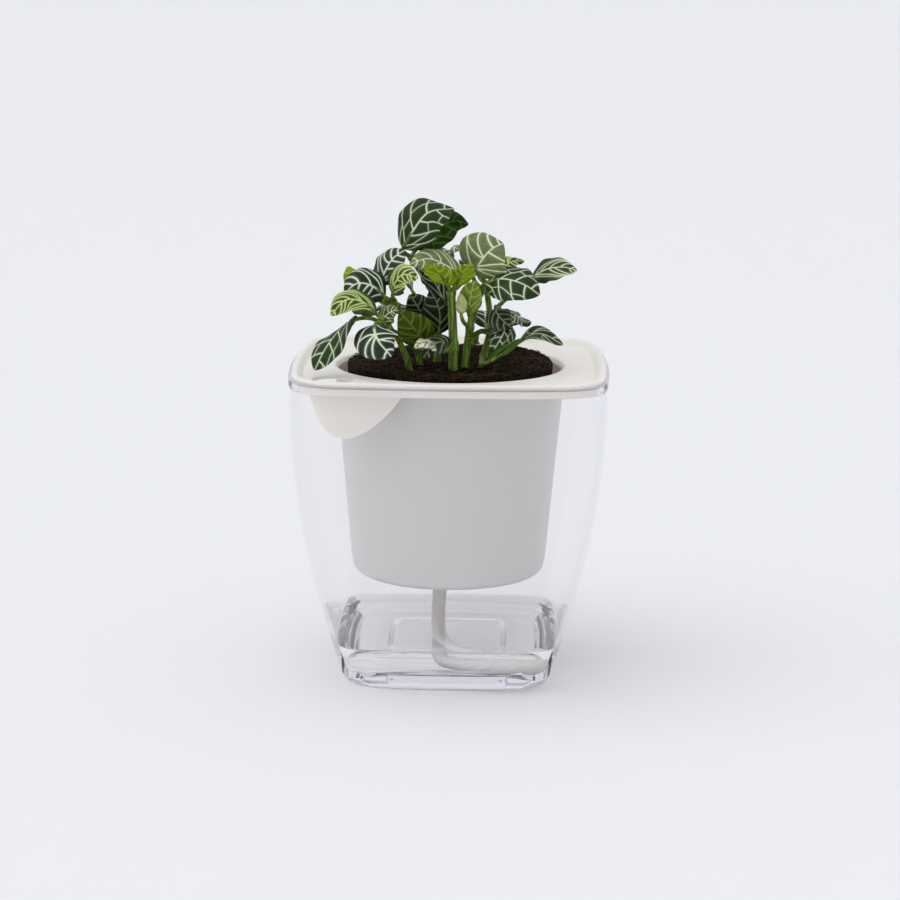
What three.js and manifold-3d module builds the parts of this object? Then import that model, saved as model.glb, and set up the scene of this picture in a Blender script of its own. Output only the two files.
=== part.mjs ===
// A nerve plant (fittonia) in a clear self-watering planter.
// Millimetres, +Z up. The origin is the middle of the base, and the front of the planter faces -Y.

import * as THREE from 'three';
import { mergeVertices } from 'three/addons/utils/BufferGeometryUtils.js';
import Module from 'manifold-3d';

const wasm = await Module();
wasm.setup();

// ---- Driving dimensions -------------------------------------------------------------------

const RIM_HALF = 55; // half the reservoir's width at its straight upper wall
const RIM_HEIGHT = 110.4; // the top of the clear rim
const WALL = 1.9; // the clear wall's thickness
const GAP = 0.3; // between pieces that rest on each other
const TAPER = 20.1; // how far the clear wall has come in by the base
const TAPER_START = 100; // height where the wall begins to come in
const TAPER_POWER = 1.85;
const BASE_FILLET = 7;
const BASE_CORNER = 12; // the flat base's corner radius
const FLOOR_TOP = 6.5; // the thick clear floor
const RECESS_HALF = 20.8; // the square recess moulded into the underside
const RECESS_DEPTH = 2.5;
const WATER_LEVEL = 15.6;

const PLATE_TOP = 110; // the insert's tray
const PLATE_THICKNESS = 1.2;
const LIP_TOP = 111.7;
const LIP_HALF = 54.3;
const SKIRT_HALF = 52.7;
const SKIRT_BOTTOM = 107.6;
const POT_TOP_RADIUS = 40.6;
const POT_BASE_RADIUS = 34;
const POT_BOTTOM = 36;
const POT_WALL = 1.4;
const FILL_HOLE = { x: -38.5, y: -35.5, radius: 7.5 };
const WICK_HOLE = { x: -2.5, y: 2, radius: 3 };

const SOIL_TOP = 111.2;
const SOIL_TOP_RADIUS = 36.2;
const SOIL_BASE_RADIUS = 32.1;

const WICK_RADIUS = 2.5;
const BLADE = 0.7; // a leaf blade's thickness
const RIB = 0.3; // how far ribs stand up from a blade

const SEGMENTS = 40; // around the planter
const CORNER_CROWDING = 0.1375; // moves the segments towards the corners

// ---- Solids -------------------------------------------------------------------------------

// A closed mesh as a solid that can be joined and cut.
function solid(geometry) {
  const bare = geometry.clone();
  bare.deleteAttribute('normal');
  bare.deleteAttribute('uv');
  const merged = mergeVertices(bare, 1e-4);
  const corners = [];
  for (let i = 0; i < merged.index.count; i += 3) {
    const [a, b, c] = [0, 1, 2].map((k) => merged.index.getX(i + k));
    if (a !== b && b !== c && c !== a) corners.push(a, b, c);
  }
  const mesh = new wasm.Mesh({
    numProp: 3,
    vertProperties: new Float32Array(merged.attributes.position.array),
    triVerts: new Uint32Array(corners),
  });
  return new wasm.Manifold(mesh);
}

// A solid as a mesh to show.
function geometryOf(body) {
  const { vertProperties, triVerts, numProp } = body.getMesh();
  const geometry = new THREE.BufferGeometry();
  const places = new Float32Array((vertProperties.length / numProp) * 3);
  for (let i = 0; i < places.length / 3; i += 1) {
    for (let k = 0; k < 3; k += 1) places[i * 3 + k] = vertProperties[i * numProp + k];
  }
  geometry.setAttribute('position', new THREE.BufferAttribute(places, 3));
  geometry.setIndex([...triVerts]);
  geometry.computeVertexNormals();
  return geometry;
}

function joined(bodies) {
  return bodies.reduce((whole, next) => whole.add(next));
}

// A round tube along a smooth curve through the points.
function tube(points, radius, sides, steps) {
  const section = [];
  for (let i = 0; i < sides; i += 1) {
    const turn = (i / sides) * 2 * Math.PI;
    section.push(new THREE.Vector2(radius * Math.cos(turn), radius * Math.sin(turn)));
  }
  const extrudePath = new THREE.CatmullRomCurve3(points.map((p) => new THREE.Vector3(...p)));
  const shape = new THREE.Shape(section);
  return solid(new THREE.ExtrudeGeometry(shape, { steps, bevelEnabled: false, extrudePath }));
}

function disc(x, y, radius, bottom, top, sides) {
  const geometry = new THREE.CylinderGeometry(radius, radius, top - bottom, sides);
  geometry.rotateX(Math.PI / 2);
  geometry.translate(x, y, (bottom + top) / 2);
  return solid(geometry);
}

// ---- Plan outlines ------------------------------------------------------------------------

const BOW = 420; // radius of the gently bowed sides

// The reach from the axis, at an angle, of a square with bowed sides and round corners.
function squareReach(angle, half, corner) {
  const quarter = Math.PI / 2;
  const turn = ((angle % quarter) + quarter) % quarter;
  const off = Math.min(turn, quarter - turn);
  const bend = Math.PI / 4 - Math.asin((BOW - half) / (Math.SQRT2 * (BOW - corner)));
  const start = Math.atan2(BOW * Math.sin(bend), half - BOW + BOW * Math.cos(bend));
  if (off < start) {
    const centre = half - BOW;
    return centre * Math.cos(off) + Math.sqrt(BOW ** 2 - (centre * Math.sin(off)) ** 2);
  }
  const centre = (BOW - corner) * Math.sin(bend);
  const along = centre * (Math.cos(off) + Math.sin(off));
  return along + Math.sqrt(corner ** 2 - (centre * (Math.cos(off) - Math.sin(off))) ** 2);
}

// Profile points: round(radius, z) stays round, squared(half, z, corner) follows the planter's plan.
const round = (half, z) => ({ half, z, corner: 0 });
const squared = (half, z, corner) => ({ half, z, corner });

// A turned body whose profile points are then drawn out to their own plan outline.
function turned(profile) {
  const points = profile.map((p) => new THREE.Vector2(p.half, p.z));
  const geometry = new THREE.LatheGeometry(points, SEGMENTS);
  geometry.rotateX(Math.PI / 2);
  const place = geometry.attributes.position;
  for (let i = 0; i < place.count; i += 1) {
    const { half, corner } = profile[i % profile.length];
    if (half > 0) {
      const even = Math.atan2(place.getY(i), place.getX(i));
      const angle = even + CORNER_CROWDING * Math.sin(4 * even);
      const reach = corner > 0 ? squareReach(angle, half, corner) : half;
      place.setXY(i, reach * Math.cos(angle), reach * Math.sin(angle));
    }
  }
  return solid(geometry);
}

// ---- Reservoir and water ------------------------------------------------------------------

function wallHalf(z) {
  return RIM_HALF - TAPER * Math.max(0, 1 - z / TAPER_START) ** TAPER_POWER;
}

function wallCorner(z) {
  return 9.3 + (8.7 * z) / RIM_HEIGHT;
}

const WALL_LEVELS = [11, 19, 30, 45, 65, 92];

function reservoirBody() {
  const filletHalf = wallHalf(BASE_FILLET) - BASE_FILLET;
  const profile = [round(0, 0), squared(filletHalf, 0, BASE_CORNER)];
  for (const degrees of [30, 60, 90]) {
    const turn = THREE.MathUtils.degToRad(degrees);
    const out = BASE_FILLET * Math.sin(turn);
    const up = BASE_FILLET * (1 - Math.cos(turn));
    profile.push(squared(filletHalf + out, up, BASE_CORNER - (out / BASE_FILLET) * 2.2));
  }
  const outside = (z) => squared(wallHalf(z), z, wallCorner(z));
  const inside = (z) => squared(wallHalf(z) - WALL, z, wallCorner(z) - WALL);
  profile.push(...WALL_LEVELS.map(outside));
  profile.push(squared(RIM_HALF, RIM_HEIGHT - 3.2, 18));
  profile.push(squared(RIM_HALF + 0.5, RIM_HEIGHT - 2.2, 18.5));
  profile.push(squared(RIM_HALF + 0.5, RIM_HEIGHT - 0.3, 18.5));
  profile.push(squared(RIM_HALF + 0.2, RIM_HEIGHT, 18.2));
  profile.push(squared(RIM_HALF - WALL + 0.2, RIM_HEIGHT, 16.3));
  profile.push(squared(RIM_HALF - WALL, RIM_HEIGHT - 0.4, 16.1));
  profile.push(...[...WALL_LEVELS].reverse().map(inside));
  profile.push(squared(wallHalf(9) - WALL - 0.7, FLOOR_TOP + 1.2, 6.6));
  profile.push(squared(wallHalf(9) - WALL - 2.6, FLOOR_TOP, 5), round(0, FLOOR_TOP));
  const corner = 5;
  const edge = RECESS_HALF;
  const plan = new THREE.Shape();
  plan.moveTo(edge - corner, -edge);
  for (let side = 0; side < 4; side += 1) {
    const turn = (side * Math.PI) / 2;
    const [c, s] = [Math.cos(turn), Math.sin(turn)];
    const [x, y] = [edge - corner, corner - edge];
    plan.absarc(x * c - y * s, x * s + y * c, corner, turn - Math.PI / 2, turn, false);
  }
  const cut = new THREE.ExtrudeGeometry(plan, {
    depth: RECESS_DEPTH + 1,
    bevelEnabled: false,
    curveSegments: 4,
  });
  cut.translate(0, 0, -1);
  return turned(profile).subtract(solid(cut));
}

const WICK_PATH = [
  [-2.5, 2, 56],
  [-2.5, 2, 46],
  [-2.5, 2, 36],
  [-3, 2.4, 28],
  [-3.4, 2.6, 21],
  [-3.4, -1, 15],
  [-2.6, -8.5, 11.6],
  [-1.2, -17, 10],
  [1.2, -25.5, 9.9],
  [6, -30.3, 9.9],
  [12.5, -31.4, 9.8],
  [19, -31.4, 9.8],
  [25.5, -30.8, 10.2],
  [29.8, -29.4, 10],
  [33, -27.2, 9.8],
];

function waterBody() {
  const inset = WALL + GAP;
  const level = (z) => squared(wallHalf(z) - inset, z, wallCorner(z) - inset);
  const profile = [round(0, FLOOR_TOP + GAP), squared(wallHalf(9) - inset - 2.8, FLOOR_TOP + GAP, 4.6)];
  profile.push(squared(wallHalf(9) - inset - 0.8, FLOOR_TOP + 1.5, 6.2));
  profile.push(level(11), level(WATER_LEVEL), round(0, WATER_LEVEL));
  return turned(profile).subtract(tube(WICK_PATH, WICK_RADIUS + GAP, 8, 22));
}

// ---- Insert: round pot, square tray, filling chute ----------------------------------------

// The lower edge of the chute, seen from the front.
const CHUTE_EDGE = [
  [-48, 109],
  [-46.8, 105.6],
  [-44.2, 99.2],
  [-41.8, 95.2],
  [-39, 92.7],
  [-35, 91.5],
  [-31, 92.1],
  [-27, 94],
  [-22, 97.8],
  [-18, 102],
  [-15.2, 105.8],
  [-13, 109],
];

function chuteBody() {
  const outer = { left: -47.2, front: -45.4, corner: 11 };
  const thick = 1.3;
  const band = new THREE.Shape();
  band.moveTo(outer.left, -18);
  band.absarc(outer.left + outer.corner, outer.front + outer.corner, outer.corner,
    Math.PI, 1.5 * Math.PI, false);
  band.lineTo(-10, outer.front);
  band.lineTo(-10, outer.front + thick);
  band.absarc(outer.left + outer.corner, outer.front + outer.corner, outer.corner - thick,
    1.5 * Math.PI, Math.PI, true);
  band.lineTo(outer.left + thick, -18);
  const wall = new THREE.ExtrudeGeometry(band, { depth: 20, bevelEnabled: false, curveSegments: 6 });
  wall.translate(0, 0, PLATE_TOP - PLATE_THICKNESS / 2 - 20);
  const tongue = new THREE.Shape(CHUTE_EDGE.map(([x, z]) => new THREE.Vector2(x, z)));
  tongue.lineTo(-13, 112);
  tongue.lineTo(-48, 112);
  const slab = new THREE.ExtrudeGeometry(tongue, { depth: 40, bevelEnabled: false });
  slab.rotateX(Math.PI / 2);
  slab.translate(0, -10, 0);
  return solid(wall).intersect(solid(slab));
}

function potInside(z) {
  const share = (z - POT_BOTTOM) / (PLATE_TOP - POT_BOTTOM);
  return POT_BASE_RADIUS + (POT_TOP_RADIUS - POT_BASE_RADIUS) * share - POT_WALL;
}

function insertBody() {
  const under = PLATE_TOP - PLATE_THICKNESS;
  const floor = POT_BOTTOM + POT_WALL;
  const profile = [
    round(0, POT_BOTTOM),
    round(POT_BASE_RADIUS - 2.2, POT_BOTTOM),
    round(POT_BASE_RADIUS - 0.6, POT_BOTTOM + 0.8),
    round(potInside(POT_BOTTOM + 2.4) + POT_WALL, POT_BOTTOM + 2.4),
    round(potInside(under - 1) + POT_WALL, under - 1),
    round(POT_TOP_RADIUS + 0.9, under),
    squared(SKIRT_HALF - 1.4, under, 15.2),
    squared(SKIRT_HALF - 1.2, SKIRT_BOTTOM, 15.2),
    squared(SKIRT_HALF, SKIRT_BOTTOM, 16),
    squared(SKIRT_HALF, RIM_HEIGHT + GAP, 16),
    squared(LIP_HALF, RIM_HEIGHT + GAP, 17.4),
    squared(LIP_HALF, LIP_TOP - 0.4, 17.4),
    squared(LIP_HALF - 0.5, LIP_TOP, 17),
    squared(LIP_HALF - 2.4, LIP_TOP - 0.1, 15.6),
    squared(LIP_HALF - 4.1, PLATE_TOP, 14.4),
    round(POT_TOP_RADIUS + 0.3, PLATE_TOP),
    round(POT_TOP_RADIUS - 0.8, PLATE_TOP - 0.5),
    round(potInside(PLATE_TOP - 1.6), PLATE_TOP - 1.6),
    round(potInside(floor + 1), floor + 1),
    round(potInside(floor) - 1, floor),
    round(0, floor),
  ];
  const { x, y, radius } = FILL_HOLE;
  return turned(profile)
    .add(chuteBody())
    .subtract(disc(x, y, radius, under - 1, LIP_TOP + 1, 20))
    .subtract(disc(WICK_HOLE.x, WICK_HOLE.y, WICK_HOLE.radius, POT_BOTTOM - 1, floor + 1, 16));
}

// ---- Plant --------------------------------------------------------------------------------

// A leaf: where its petiole leaves the stem (0 root, 1 top), four points along its midrib, its width,
// the way its upper face looks, how far its left and right halves curl down (radians, negative for
// up), and the way the face looks at the tip.
const leaf = (at, rib, width, face, cup = [0.25, 0.25], tipFace = face) => ({
  at, rib, width, face, cup, tipFace,
});

const STEMS = {
  stem_1: {
    radius: 1.8,
    path: [[1.5, -20.5, 102], [1.5, -20.5, 111], [1.2, -20.5, 125], [0.5, -21, 138.5]],
    leaves: [
      leaf(0.98, [[3.5, -17, 143.3], [-1.5, -16.8, 146.6], [-7.5, -17.2, 148.8], [-14, -18.6, 147]],
        11, [0, -0.75, 0.65], [0.2, 0.3]),
      leaf(0.98, [[-0.5, -22, 140.5], [-2.5, -25, 144], [-5, -28, 147.5], [-7.5, -31, 149]],
        11.5, [0.25, 0.6, 0.75], [0.2, 0.2]),
      leaf(0.98, [[1.5, -21.5, 140], [3.5, -24, 144], [5.5, -26.5, 147], [7.5, -28.5, 149]],
        10, [-0.2, 0.6, 0.75], [0.2, 0.2]),
      leaf(0.5, [[-3.5, -27, 119], [-6.5, -29.5, 121.5], [-9, -31.5, 122], [-11.5, -33, 120.5]],
        6, [0.1, -0.5, 0.85], [0.2, 0.2]),
      leaf(0.45, [[-0.5, -23, 118], [-2.5, -26, 121.5], [-5.5, -28, 120.5], [-8.5, -29, 116.5]],
        9, [-0.1, -0.7, 0.7], [0.3, 0.3]),
    ],
  },
  stem_2: {
    radius: 1.5,
    path: [[5.5, -16.5, 102], [5.5, -17, 111], [7.5, -18.5, 128], [11, -18, 139.5]],
    leaves: [
      leaf(0.99, [[8, -17.5, 143.8], [11, -20, 149.2], [14, -20.5, 152.7], [18, -18.5, 154.7]],
        20, [0.1, -0.85, 0.5], [0.15, 0.15]),
      leaf(0.97, [[12, -20.5, 141], [17.5, -24, 143], [24.5, -28, 142], [30.5, -29, 138.5]],
        17.5, [0.1, -0.6, 0.8], [0.35, 0.35], [0.25, -0.8, 0.55]),
      leaf(0.72, [[7, -20, 130.5], [7, -21, 134.5], [7.5, -21.5, 138.5], [8.5, -20.5, 142]],
        8.5, [-0.2, -1, 0.1], [-0.2, -0.2]),
      leaf(0.62, [[4, -22, 130.5], [4, -22.5, 133], [4, -22.5, 135.5], [3.5, -22.5, 138]],
        4, [0, -1, 0.1], [-0.4, -0.4]),
      leaf(0.95, [[14.5, -13, 142], [18, -10, 145], [21, -8, 147], [23.5, -7, 147.5]],
        9, [0.3, -0.6, 0.7]),
    ],
  },
  stem_3: {
    radius: 1.2,
    path: [[-13.5, -20.5, 102], [-13.5, -21, 111], [-17, -22.5, 121], [-22, -27.5, 129]],
    leaves: [
      leaf(0.97, [[-24.8, -30.3, 128.2], [-24.9, -34.1, 126.1], [-23, -37, 122.6], [-19, -38.5, 118.4]],
        16, [-0.1, -0.6, 0.8], [0.4, 0.4]),
      leaf(0.98, [[-24.5, -29, 131.5], [-29, -31, 135.5], [-34.5, -33, 136.5], [-39.5, -35, 131.5]],
        10.5, [0, -0.7, 0.7], [0.3, 0.3]),
      leaf(0.9, [[-31.5, -24, 129], [-35.5, -28, 127], [-41, -33, 120.5], [-45, -36, 113]],
        14, [-0.95, 0, 0.35], [0.25, 0.25], [-0.2, -0.9, 0.4]),
      leaf(0.97, [[-23.5, -27.5, 128.5], [-21.5, -27.5, 130.5], [-19.5, -27.5, 132], [-17, -28, 132.5]],
        7, [0.1, -0.8, 0.6], [0.2, 0.2]),
    ],
  },
  stem_4: {
    radius: 1.2,
    path: [[-10, -13, 102], [-10, -13, 111], [-14, -16, 125], [-19.5, -18.5, 135]],
    leaves: [
      leaf(0.98, [[-22, -20.1, 136], [-26.5, -22.6, 140], [-31.2, -24.4, 141], [-35.7, -25, 137.6]],
        14, [-0.1, -0.8, 0.6], [0.3, 0.3]),
      leaf(0.9, [[-26, -16.5, 135.5], [-30.5, -17, 139], [-33.5, -17.5, 142.5], [-35, -17, 146]],
        11, [0.4, 0.8, 0.4], [0.2, 0.2]),
      leaf(0.98, [[-19.5, -21, 137], [-18, -24.5, 142], [-15.5, -26.5, 144.5], [-10.5, -27.5, 143.5]],
        10, [-0.2, -0.8, 0.55], [0.2, 0.2]),
      leaf(0.45, [[-8.3, -20, 119.5], [-10.8, -24, 124.5], [-13.8, -26.5, 128.5], [-16.8, -27, 132]],
        12.5, [-0.2, 0.85, 0.5], [0.15, 0.15]),
      leaf(0.9, [[-24, -16, 139.5], [-22, -15.5, 144.5], [-19.5, -15, 148.5], [-15.5, -14, 151.5]],
        13, [-0.5, -0.75, 0.4], [0.2, 0.2]),
    ],
  },
  stem_5: {
    radius: 1.4,
    path: [[-4.5, -6, 102], [-4.5, -6, 111], [-5.5, -7, 134], [-14, -8.5, 149]],
    leaves: [
      leaf(0.99, [[-16.5, -10, 151.5], [-12.7, -14.3, 158.2], [-8, -13.8, 164], [1, -7.5, 165.2]],
        16, [-0.2, -0.95, 0.25], [0.15, 0.35], [0.1, -0.6, 0.8]),
      leaf(0.99, [[-12, -6, 151], [-6, -5, 157], [1, -4.5, 160.8], [6, -6.5, 159.8]],
        14, [0.1, 0.75, 0.65], [0.2, 0.2], [0.5, 0.7, 0.5]),
      leaf(0.75, [[-1.5, -13, 133], [-4, -13.5, 138.5], [-7, -14, 143], [-11, -13.5, 147.5]],
        11, [-0.7, -0.6, 0.3], [0.15, 0.15]),
      leaf(0.5, [[-4, -10.5, 122], [-3.5, -12, 128], [-4.5, -12.5, 133], [-7, -12, 137.5]],
        11.5, [0.2, -1, 0.1], [0.2, 0.2]),
      leaf(0.6, [[-9.5, -9.5, 128.5], [-11, -12, 131.5], [-12.5, -13, 134], [-14, -13, 136]],
        9, [-0.3, -0.8, 0.5], [0.2, 0.2]),
    ],
  },
  stem_6: {
    radius: 1.3,
    path: [[11, -14, 102], [11, -14.5, 111], [13.5, -14, 122], [16.5, -12.5, 132.5]],
    leaves: [
      leaf(0.98, [[28, -9, 141.5], [33, -12, 145], [38.5, -13.5, 146], [43.5, -13.5, 145]],
        10, [0, -0.75, 0.65]),
      leaf(0.42, [[13, -24, 114.5], [20.5, -25.5, 119.5], [30, -24.5, 124.5], [39, -22, 120.5]],
        9.5, [-0.5, 0.75, 0.4], [-0.3, -0.3], [0.3, -0.75, 0.6]),
      leaf(0.85, [[19.5, -17, 127], [18.5, -21, 124], [16.5, -23, 120.5], [14.5, -23.5, 117]],
        9, [0, -0.75, 0.65], [0.3, 0.3]),
      leaf(0.7, [[12.5, -18, 124], [10.8, -21.2, 124.5], [8.8, -22.6, 123], [6.8, -23.2, 120]],
        8, [0.2, 0.6, 0.8], [0.2, 0.2]),
      leaf(0.98, [[16.5, -15, 132], [16, -18, 131], [18, -20.5, 128.5], [21.5, -22, 126]],
        9, [-0.3, -0.5, 0.8], [0.3, 0.3]),
      leaf(0.9, [[19, -10.5, 128.5], [21, -11, 129.5], [23.5, -12, 128.5], [25, -12.5, 125]],
        8, [0.3, -0.4, 0.85], [0.3, 0.3], [0.9, -0.2, 0.2]),
    ],
  },
  stem_7: {
    radius: 1.3,
    path: [[14, 4, 102], [14, 4, 111], [14, 6, 124], [12, 9, 138]],
    leaves: [
      leaf(0.98, [[15, 12, 139], [18, 15, 143.5], [21, 18.5, 145], [23.5, 22, 142.5]],
        15, [0.2, 0.4, 0.9], [0.3, 0.3]),
      leaf(0.98, [[9.5, 14, 140], [9, 19, 143.5], [8, 24, 144], [7, 29, 140.5]],
        13, [0, 0.4, 0.9], [0.3, 0.3]),
      leaf(0.55, [[17.5, 12, 122], [21, 16.5, 124], [24, 21, 123.5], [26.5, 25.5, 119.5]],
        13, [0.3, 0.3, 0.9], [0.3, 0.3]),
      leaf(0.5, [[12.5, 12, 121], [12, 18, 125], [11.5, 24, 125], [11, 30, 120]],
        13, [0, 0.45, 0.9], [0.3, 0.3]),
      leaf(0.98, [[10, 7, 142], [8.5, 4, 147], [8.5, 1, 150.5], [10, -3, 151.5]],
        12, [0.4, -0.3, 0.85]),
    ],
  },
  stem_8: {
    radius: 1.3,
    path: [[-5, 8, 102], [-5, 8, 111], [-4, 10, 125], [-4, 12, 139]],
    leaves: [
      leaf(0.6, [[-14, 14, 134], [-17, 16.5, 139.5], [-20.5, 19, 142.5], [-25, 21.5, 142]],
        14, [-0.2, 0.3, 0.95]),
      leaf(0.98, [[-4.5, 17, 142], [-5, 21, 146.5], [-6, 26, 147.5], [-7.5, 31, 144]],
        13, [0, 0.4, 0.9], [0.3, 0.3]),
      leaf(0.5, [[-11, 10, 124], [-17, 11, 128], [-23, 13, 129], [-28.5, 16, 125]],
        14, [-0.1, 0, 1], [0.3, 0.3]),
      leaf(0.5, [[-6, 14, 123], [-7.5, 19, 127.5], [-9, 25, 128], [-10, 31, 123]],
        14, [0, 0.5, 0.85], [0.3, 0.3]),
      leaf(0.98, [[-3, 9, 142.5], [-1.5, 6, 147], [0.5, 4, 150], [3.5, 2, 150]],
        11, [-0.2, -0.3, 0.9]),
    ],
  },
};

const LARGE_LEAF_WIDTH = 12; // a narrower leaf has fewer rows
const BLADE_ROWS = { large: 8, small: 6 }; // every second row follows a pair of side ribs
const BLADE_COLUMNS = 4;
const RIB_SWEEP = 0.1; // the ribs run forward towards the edge
const WAVE = 0.35; // height of the waved edge
const PETIOLE_RADIUS = 0.75;

const vector = (xyz) => new THREE.Vector3(...xyz);

const midrib = ({ rib }) => new THREE.CatmullRomCurve3(rib.map(vector));

// The blade's own axes at a share of its midrib: along it, across it, and out of the upper face.
function bladeAxes(form, a) {
  const along = midrib(form).getTangentAt(a);
  const face = vector(form.face).normalize().lerp(vector(form.tipFace).normalize(), a);
  const across = along.clone().cross(face).normalize();
  return { along, across, out: across.clone().cross(along) };
}

// A point of the blade's middle surface: s runs from base to tip, t from the left edge to the right.
function bladePoint(form, s, t) {
  const a = Math.min(s + RIB_SWEEP * Math.abs(t) * Math.sin(Math.PI * s), 1);
  const { across, out } = bladeAxes(form, a);
  const swell = Math.max(Math.sin(Math.PI * a ** 0.85), 0);
  const half = Math.max((form.width / 2) * swell ** 0.7, 0.5);
  const bend = form.cup[t < 0 ? 0 : 1];
  const side = (half * Math.sin(bend * t)) / bend;
  const wave = WAVE * Math.sin(6 * Math.PI * a + 2 * t + form.width) * t * t * swell;
  const rise = wave - (half * (1 - Math.cos(bend * t))) / bend;
  return midrib(form).getPointAt(a).addScaledVector(across, side).addScaledVector(out, rise);
}

function bladeNormal(form, s, t) {
  const step = 0.02;
  const ahead = bladePoint(form, Math.min(s + step, 0.999), t);
  const back = bladePoint(form, Math.max(s - step, 0.001), t);
  const right = bladePoint(form, s, Math.min(t + step, 1));
  const left = bladePoint(form, s, Math.max(t - step, -1));
  return right.sub(left).cross(ahead.sub(back)).normalize();
}

// A blade starts as a thin box. Its back face is split the same way as its front face.
function bladeBody(form) {
  const rows = form.width > LARGE_LEAF_WIDTH ? BLADE_ROWS.large : BLADE_ROWS.small;
  const geometry = new THREE.BoxGeometry(1, 1, 1, BLADE_COLUMNS, rows, 1);
  const back = geometry.groups[5];
  const index = geometry.index;
  for (let i = back.start; i < back.start + back.count; i += 6) {
    const [a, b, d, c] = [i, i + 1, i + 2, i + 4].map((k) => index.getX(k));
    [a, b, c, a, c, d].forEach((corner, k) => index.setX(i + k, corner));
  }
  const place = geometry.attributes.position;
  for (let i = 0; i < place.count; i += 1) {
    const s = place.getY(i) + 0.5;
    const t = place.getX(i) * 2;
    const upper = place.getZ(i) > 0;
    const onRib = Math.round(s * rows) % 2 === 1 || t === 0;
    const rib = upper && onRib && Math.abs(t) < 0.9 && s > 0.02 && s < 0.98 ? RIB : 0;
    const offset = upper ? BLADE / 2 + rib : -BLADE / 2;
    const point = bladePoint(form, s, t).addScaledVector(bladeNormal(form, s, t), offset);
    place.setXYZ(i, point.x, point.y, point.z);
  }
  return solid(geometry);
}

// A petiole leaves the stem, and runs in along the blade's midrib.
function petioleBody(form, stemCurve) {
  const { along, out } = bladeAxes(form, 0);
  const root = stemCurve.getPoint(form.at);
  const start = bladePoint(form, 0, 0).addScaledVector(out, -0.2);
  const end = bladePoint(form, 0.12, 0).addScaledVector(out, -0.2);
  const bend = start.clone().addScaledVector(along, -0.4 * root.distanceTo(start));
  const middle = root.clone().lerp(start, 0.5).lerp(bend, 0.5);
  return tube([root, middle, start, end].map((p) => p.toArray()), PETIOLE_RADIUS, 5, 3);
}

function stemBody({ radius, path, leaves }) {
  const curve = new THREE.CatmullRomCurve3(path.map(vector));
  const parts = [tube(path, radius, 6, 6)];
  for (const form of leaves) parts.push(bladeBody(form), petioleBody(form, curve));
  return joined(parts);
}

// ---- Soil ---------------------------------------------------------------------------------

function soilBody() {
  const floor = POT_BOTTOM + POT_WALL + GAP;
  const profile = [
    round(0, floor),
    round(SOIL_BASE_RADIUS - 1.6, floor),
    round(SOIL_BASE_RADIUS, floor + 2),
    round(SOIL_TOP_RADIUS, SOIL_TOP - 0.8),
    round(SOIL_TOP_RADIUS - 0.9, SOIL_TOP),
    round(27, SOIL_TOP),
    round(17, SOIL_TOP),
    round(0, SOIL_TOP),
  ];
  const points = profile.map((p) => new THREE.Vector2(p.half, p.z));
  const geometry = new THREE.LatheGeometry(points, 32);
  geometry.rotateX(Math.PI / 2);
  const place = geometry.attributes.position;
  for (let i = 0; i < place.count; i += 1) {
    const [x, y, z] = [place.getX(i), place.getY(i), place.getZ(i)];
    if (z > SOIL_TOP - 0.1) {
      const crumb = 0.35 * Math.sin(0.5 * x + 1) * Math.cos(0.43 * y);
      const mound = 1.6 * Math.exp(-((x - 20) ** 2 + (y - 20) ** 2) / 150);
      place.setZ(i, z + crumb + mound);
    }
  }
  let body = solid(geometry);
  for (const { radius, path } of Object.values(STEMS)) {
    body = body.subtract(tube(path, radius + GAP, 8, 6));
  }
  return body.subtract(disc(WICK_HOLE.x, WICK_HOLE.y, WICK_RADIUS + GAP, floor - 1, 56.4, 12));
}

// ---- The assembled plant and planter ------------------------------------------------------

function piece(name, body, colour, roughness) {
  const material = new THREE.MeshStandardMaterial({ color: colour, roughness, metalness: 0 });
  const mesh = new THREE.Mesh(geometryOf(body), material);
  mesh.name = name;
  return mesh;
}

const planter = new THREE.Group();
planter.add(piece('reservoir', reservoirBody(), 0xdfe2e8, 0.05));
planter.add(piece('water', waterBody(), 0xc9d4dc, 0.02));
planter.add(piece('insert', insertBody(), 0xecece9, 0.4));
planter.add(piece('wick', tube(WICK_PATH, WICK_RADIUS, 8, 22), 0xb9b2b0, 0.95));
planter.add(piece('soil', soilBody(), 0x33251d, 1));

const plant = new THREE.Group();
for (const [name, stem] of Object.entries(STEMS)) {
  plant.add(piece(name, stemBody(stem), 0x2f4a2b, 0.5));
}

const group = new THREE.Group();
group.add(planter, plant);
export default group;
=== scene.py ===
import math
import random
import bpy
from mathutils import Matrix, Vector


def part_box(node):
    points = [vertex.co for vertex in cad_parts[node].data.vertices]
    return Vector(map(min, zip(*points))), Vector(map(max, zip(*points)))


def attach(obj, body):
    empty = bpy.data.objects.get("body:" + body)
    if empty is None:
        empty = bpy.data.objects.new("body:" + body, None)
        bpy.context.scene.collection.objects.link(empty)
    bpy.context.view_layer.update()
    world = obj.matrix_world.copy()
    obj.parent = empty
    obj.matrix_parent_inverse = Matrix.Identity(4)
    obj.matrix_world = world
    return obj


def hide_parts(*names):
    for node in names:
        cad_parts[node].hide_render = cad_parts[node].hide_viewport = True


bl_info = {
    "name": "Potted nerve plant",
    "version": (1, 0, 0),
    "blender": (4, 5, 0),
    "location": "3D View > Sidebar > Nerve plant",
    "description": "A fittonia in a white insert, hung in a clear self-watering planter with a wick",
    "category": "Add Mesh",
}

from collections import namedtuple

import bmesh
import bpy
import numpy as np
from bpy.props import FloatProperty, FloatVectorProperty, IntProperty, PointerProperty
from mathutils import Matrix, Vector, noise

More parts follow.
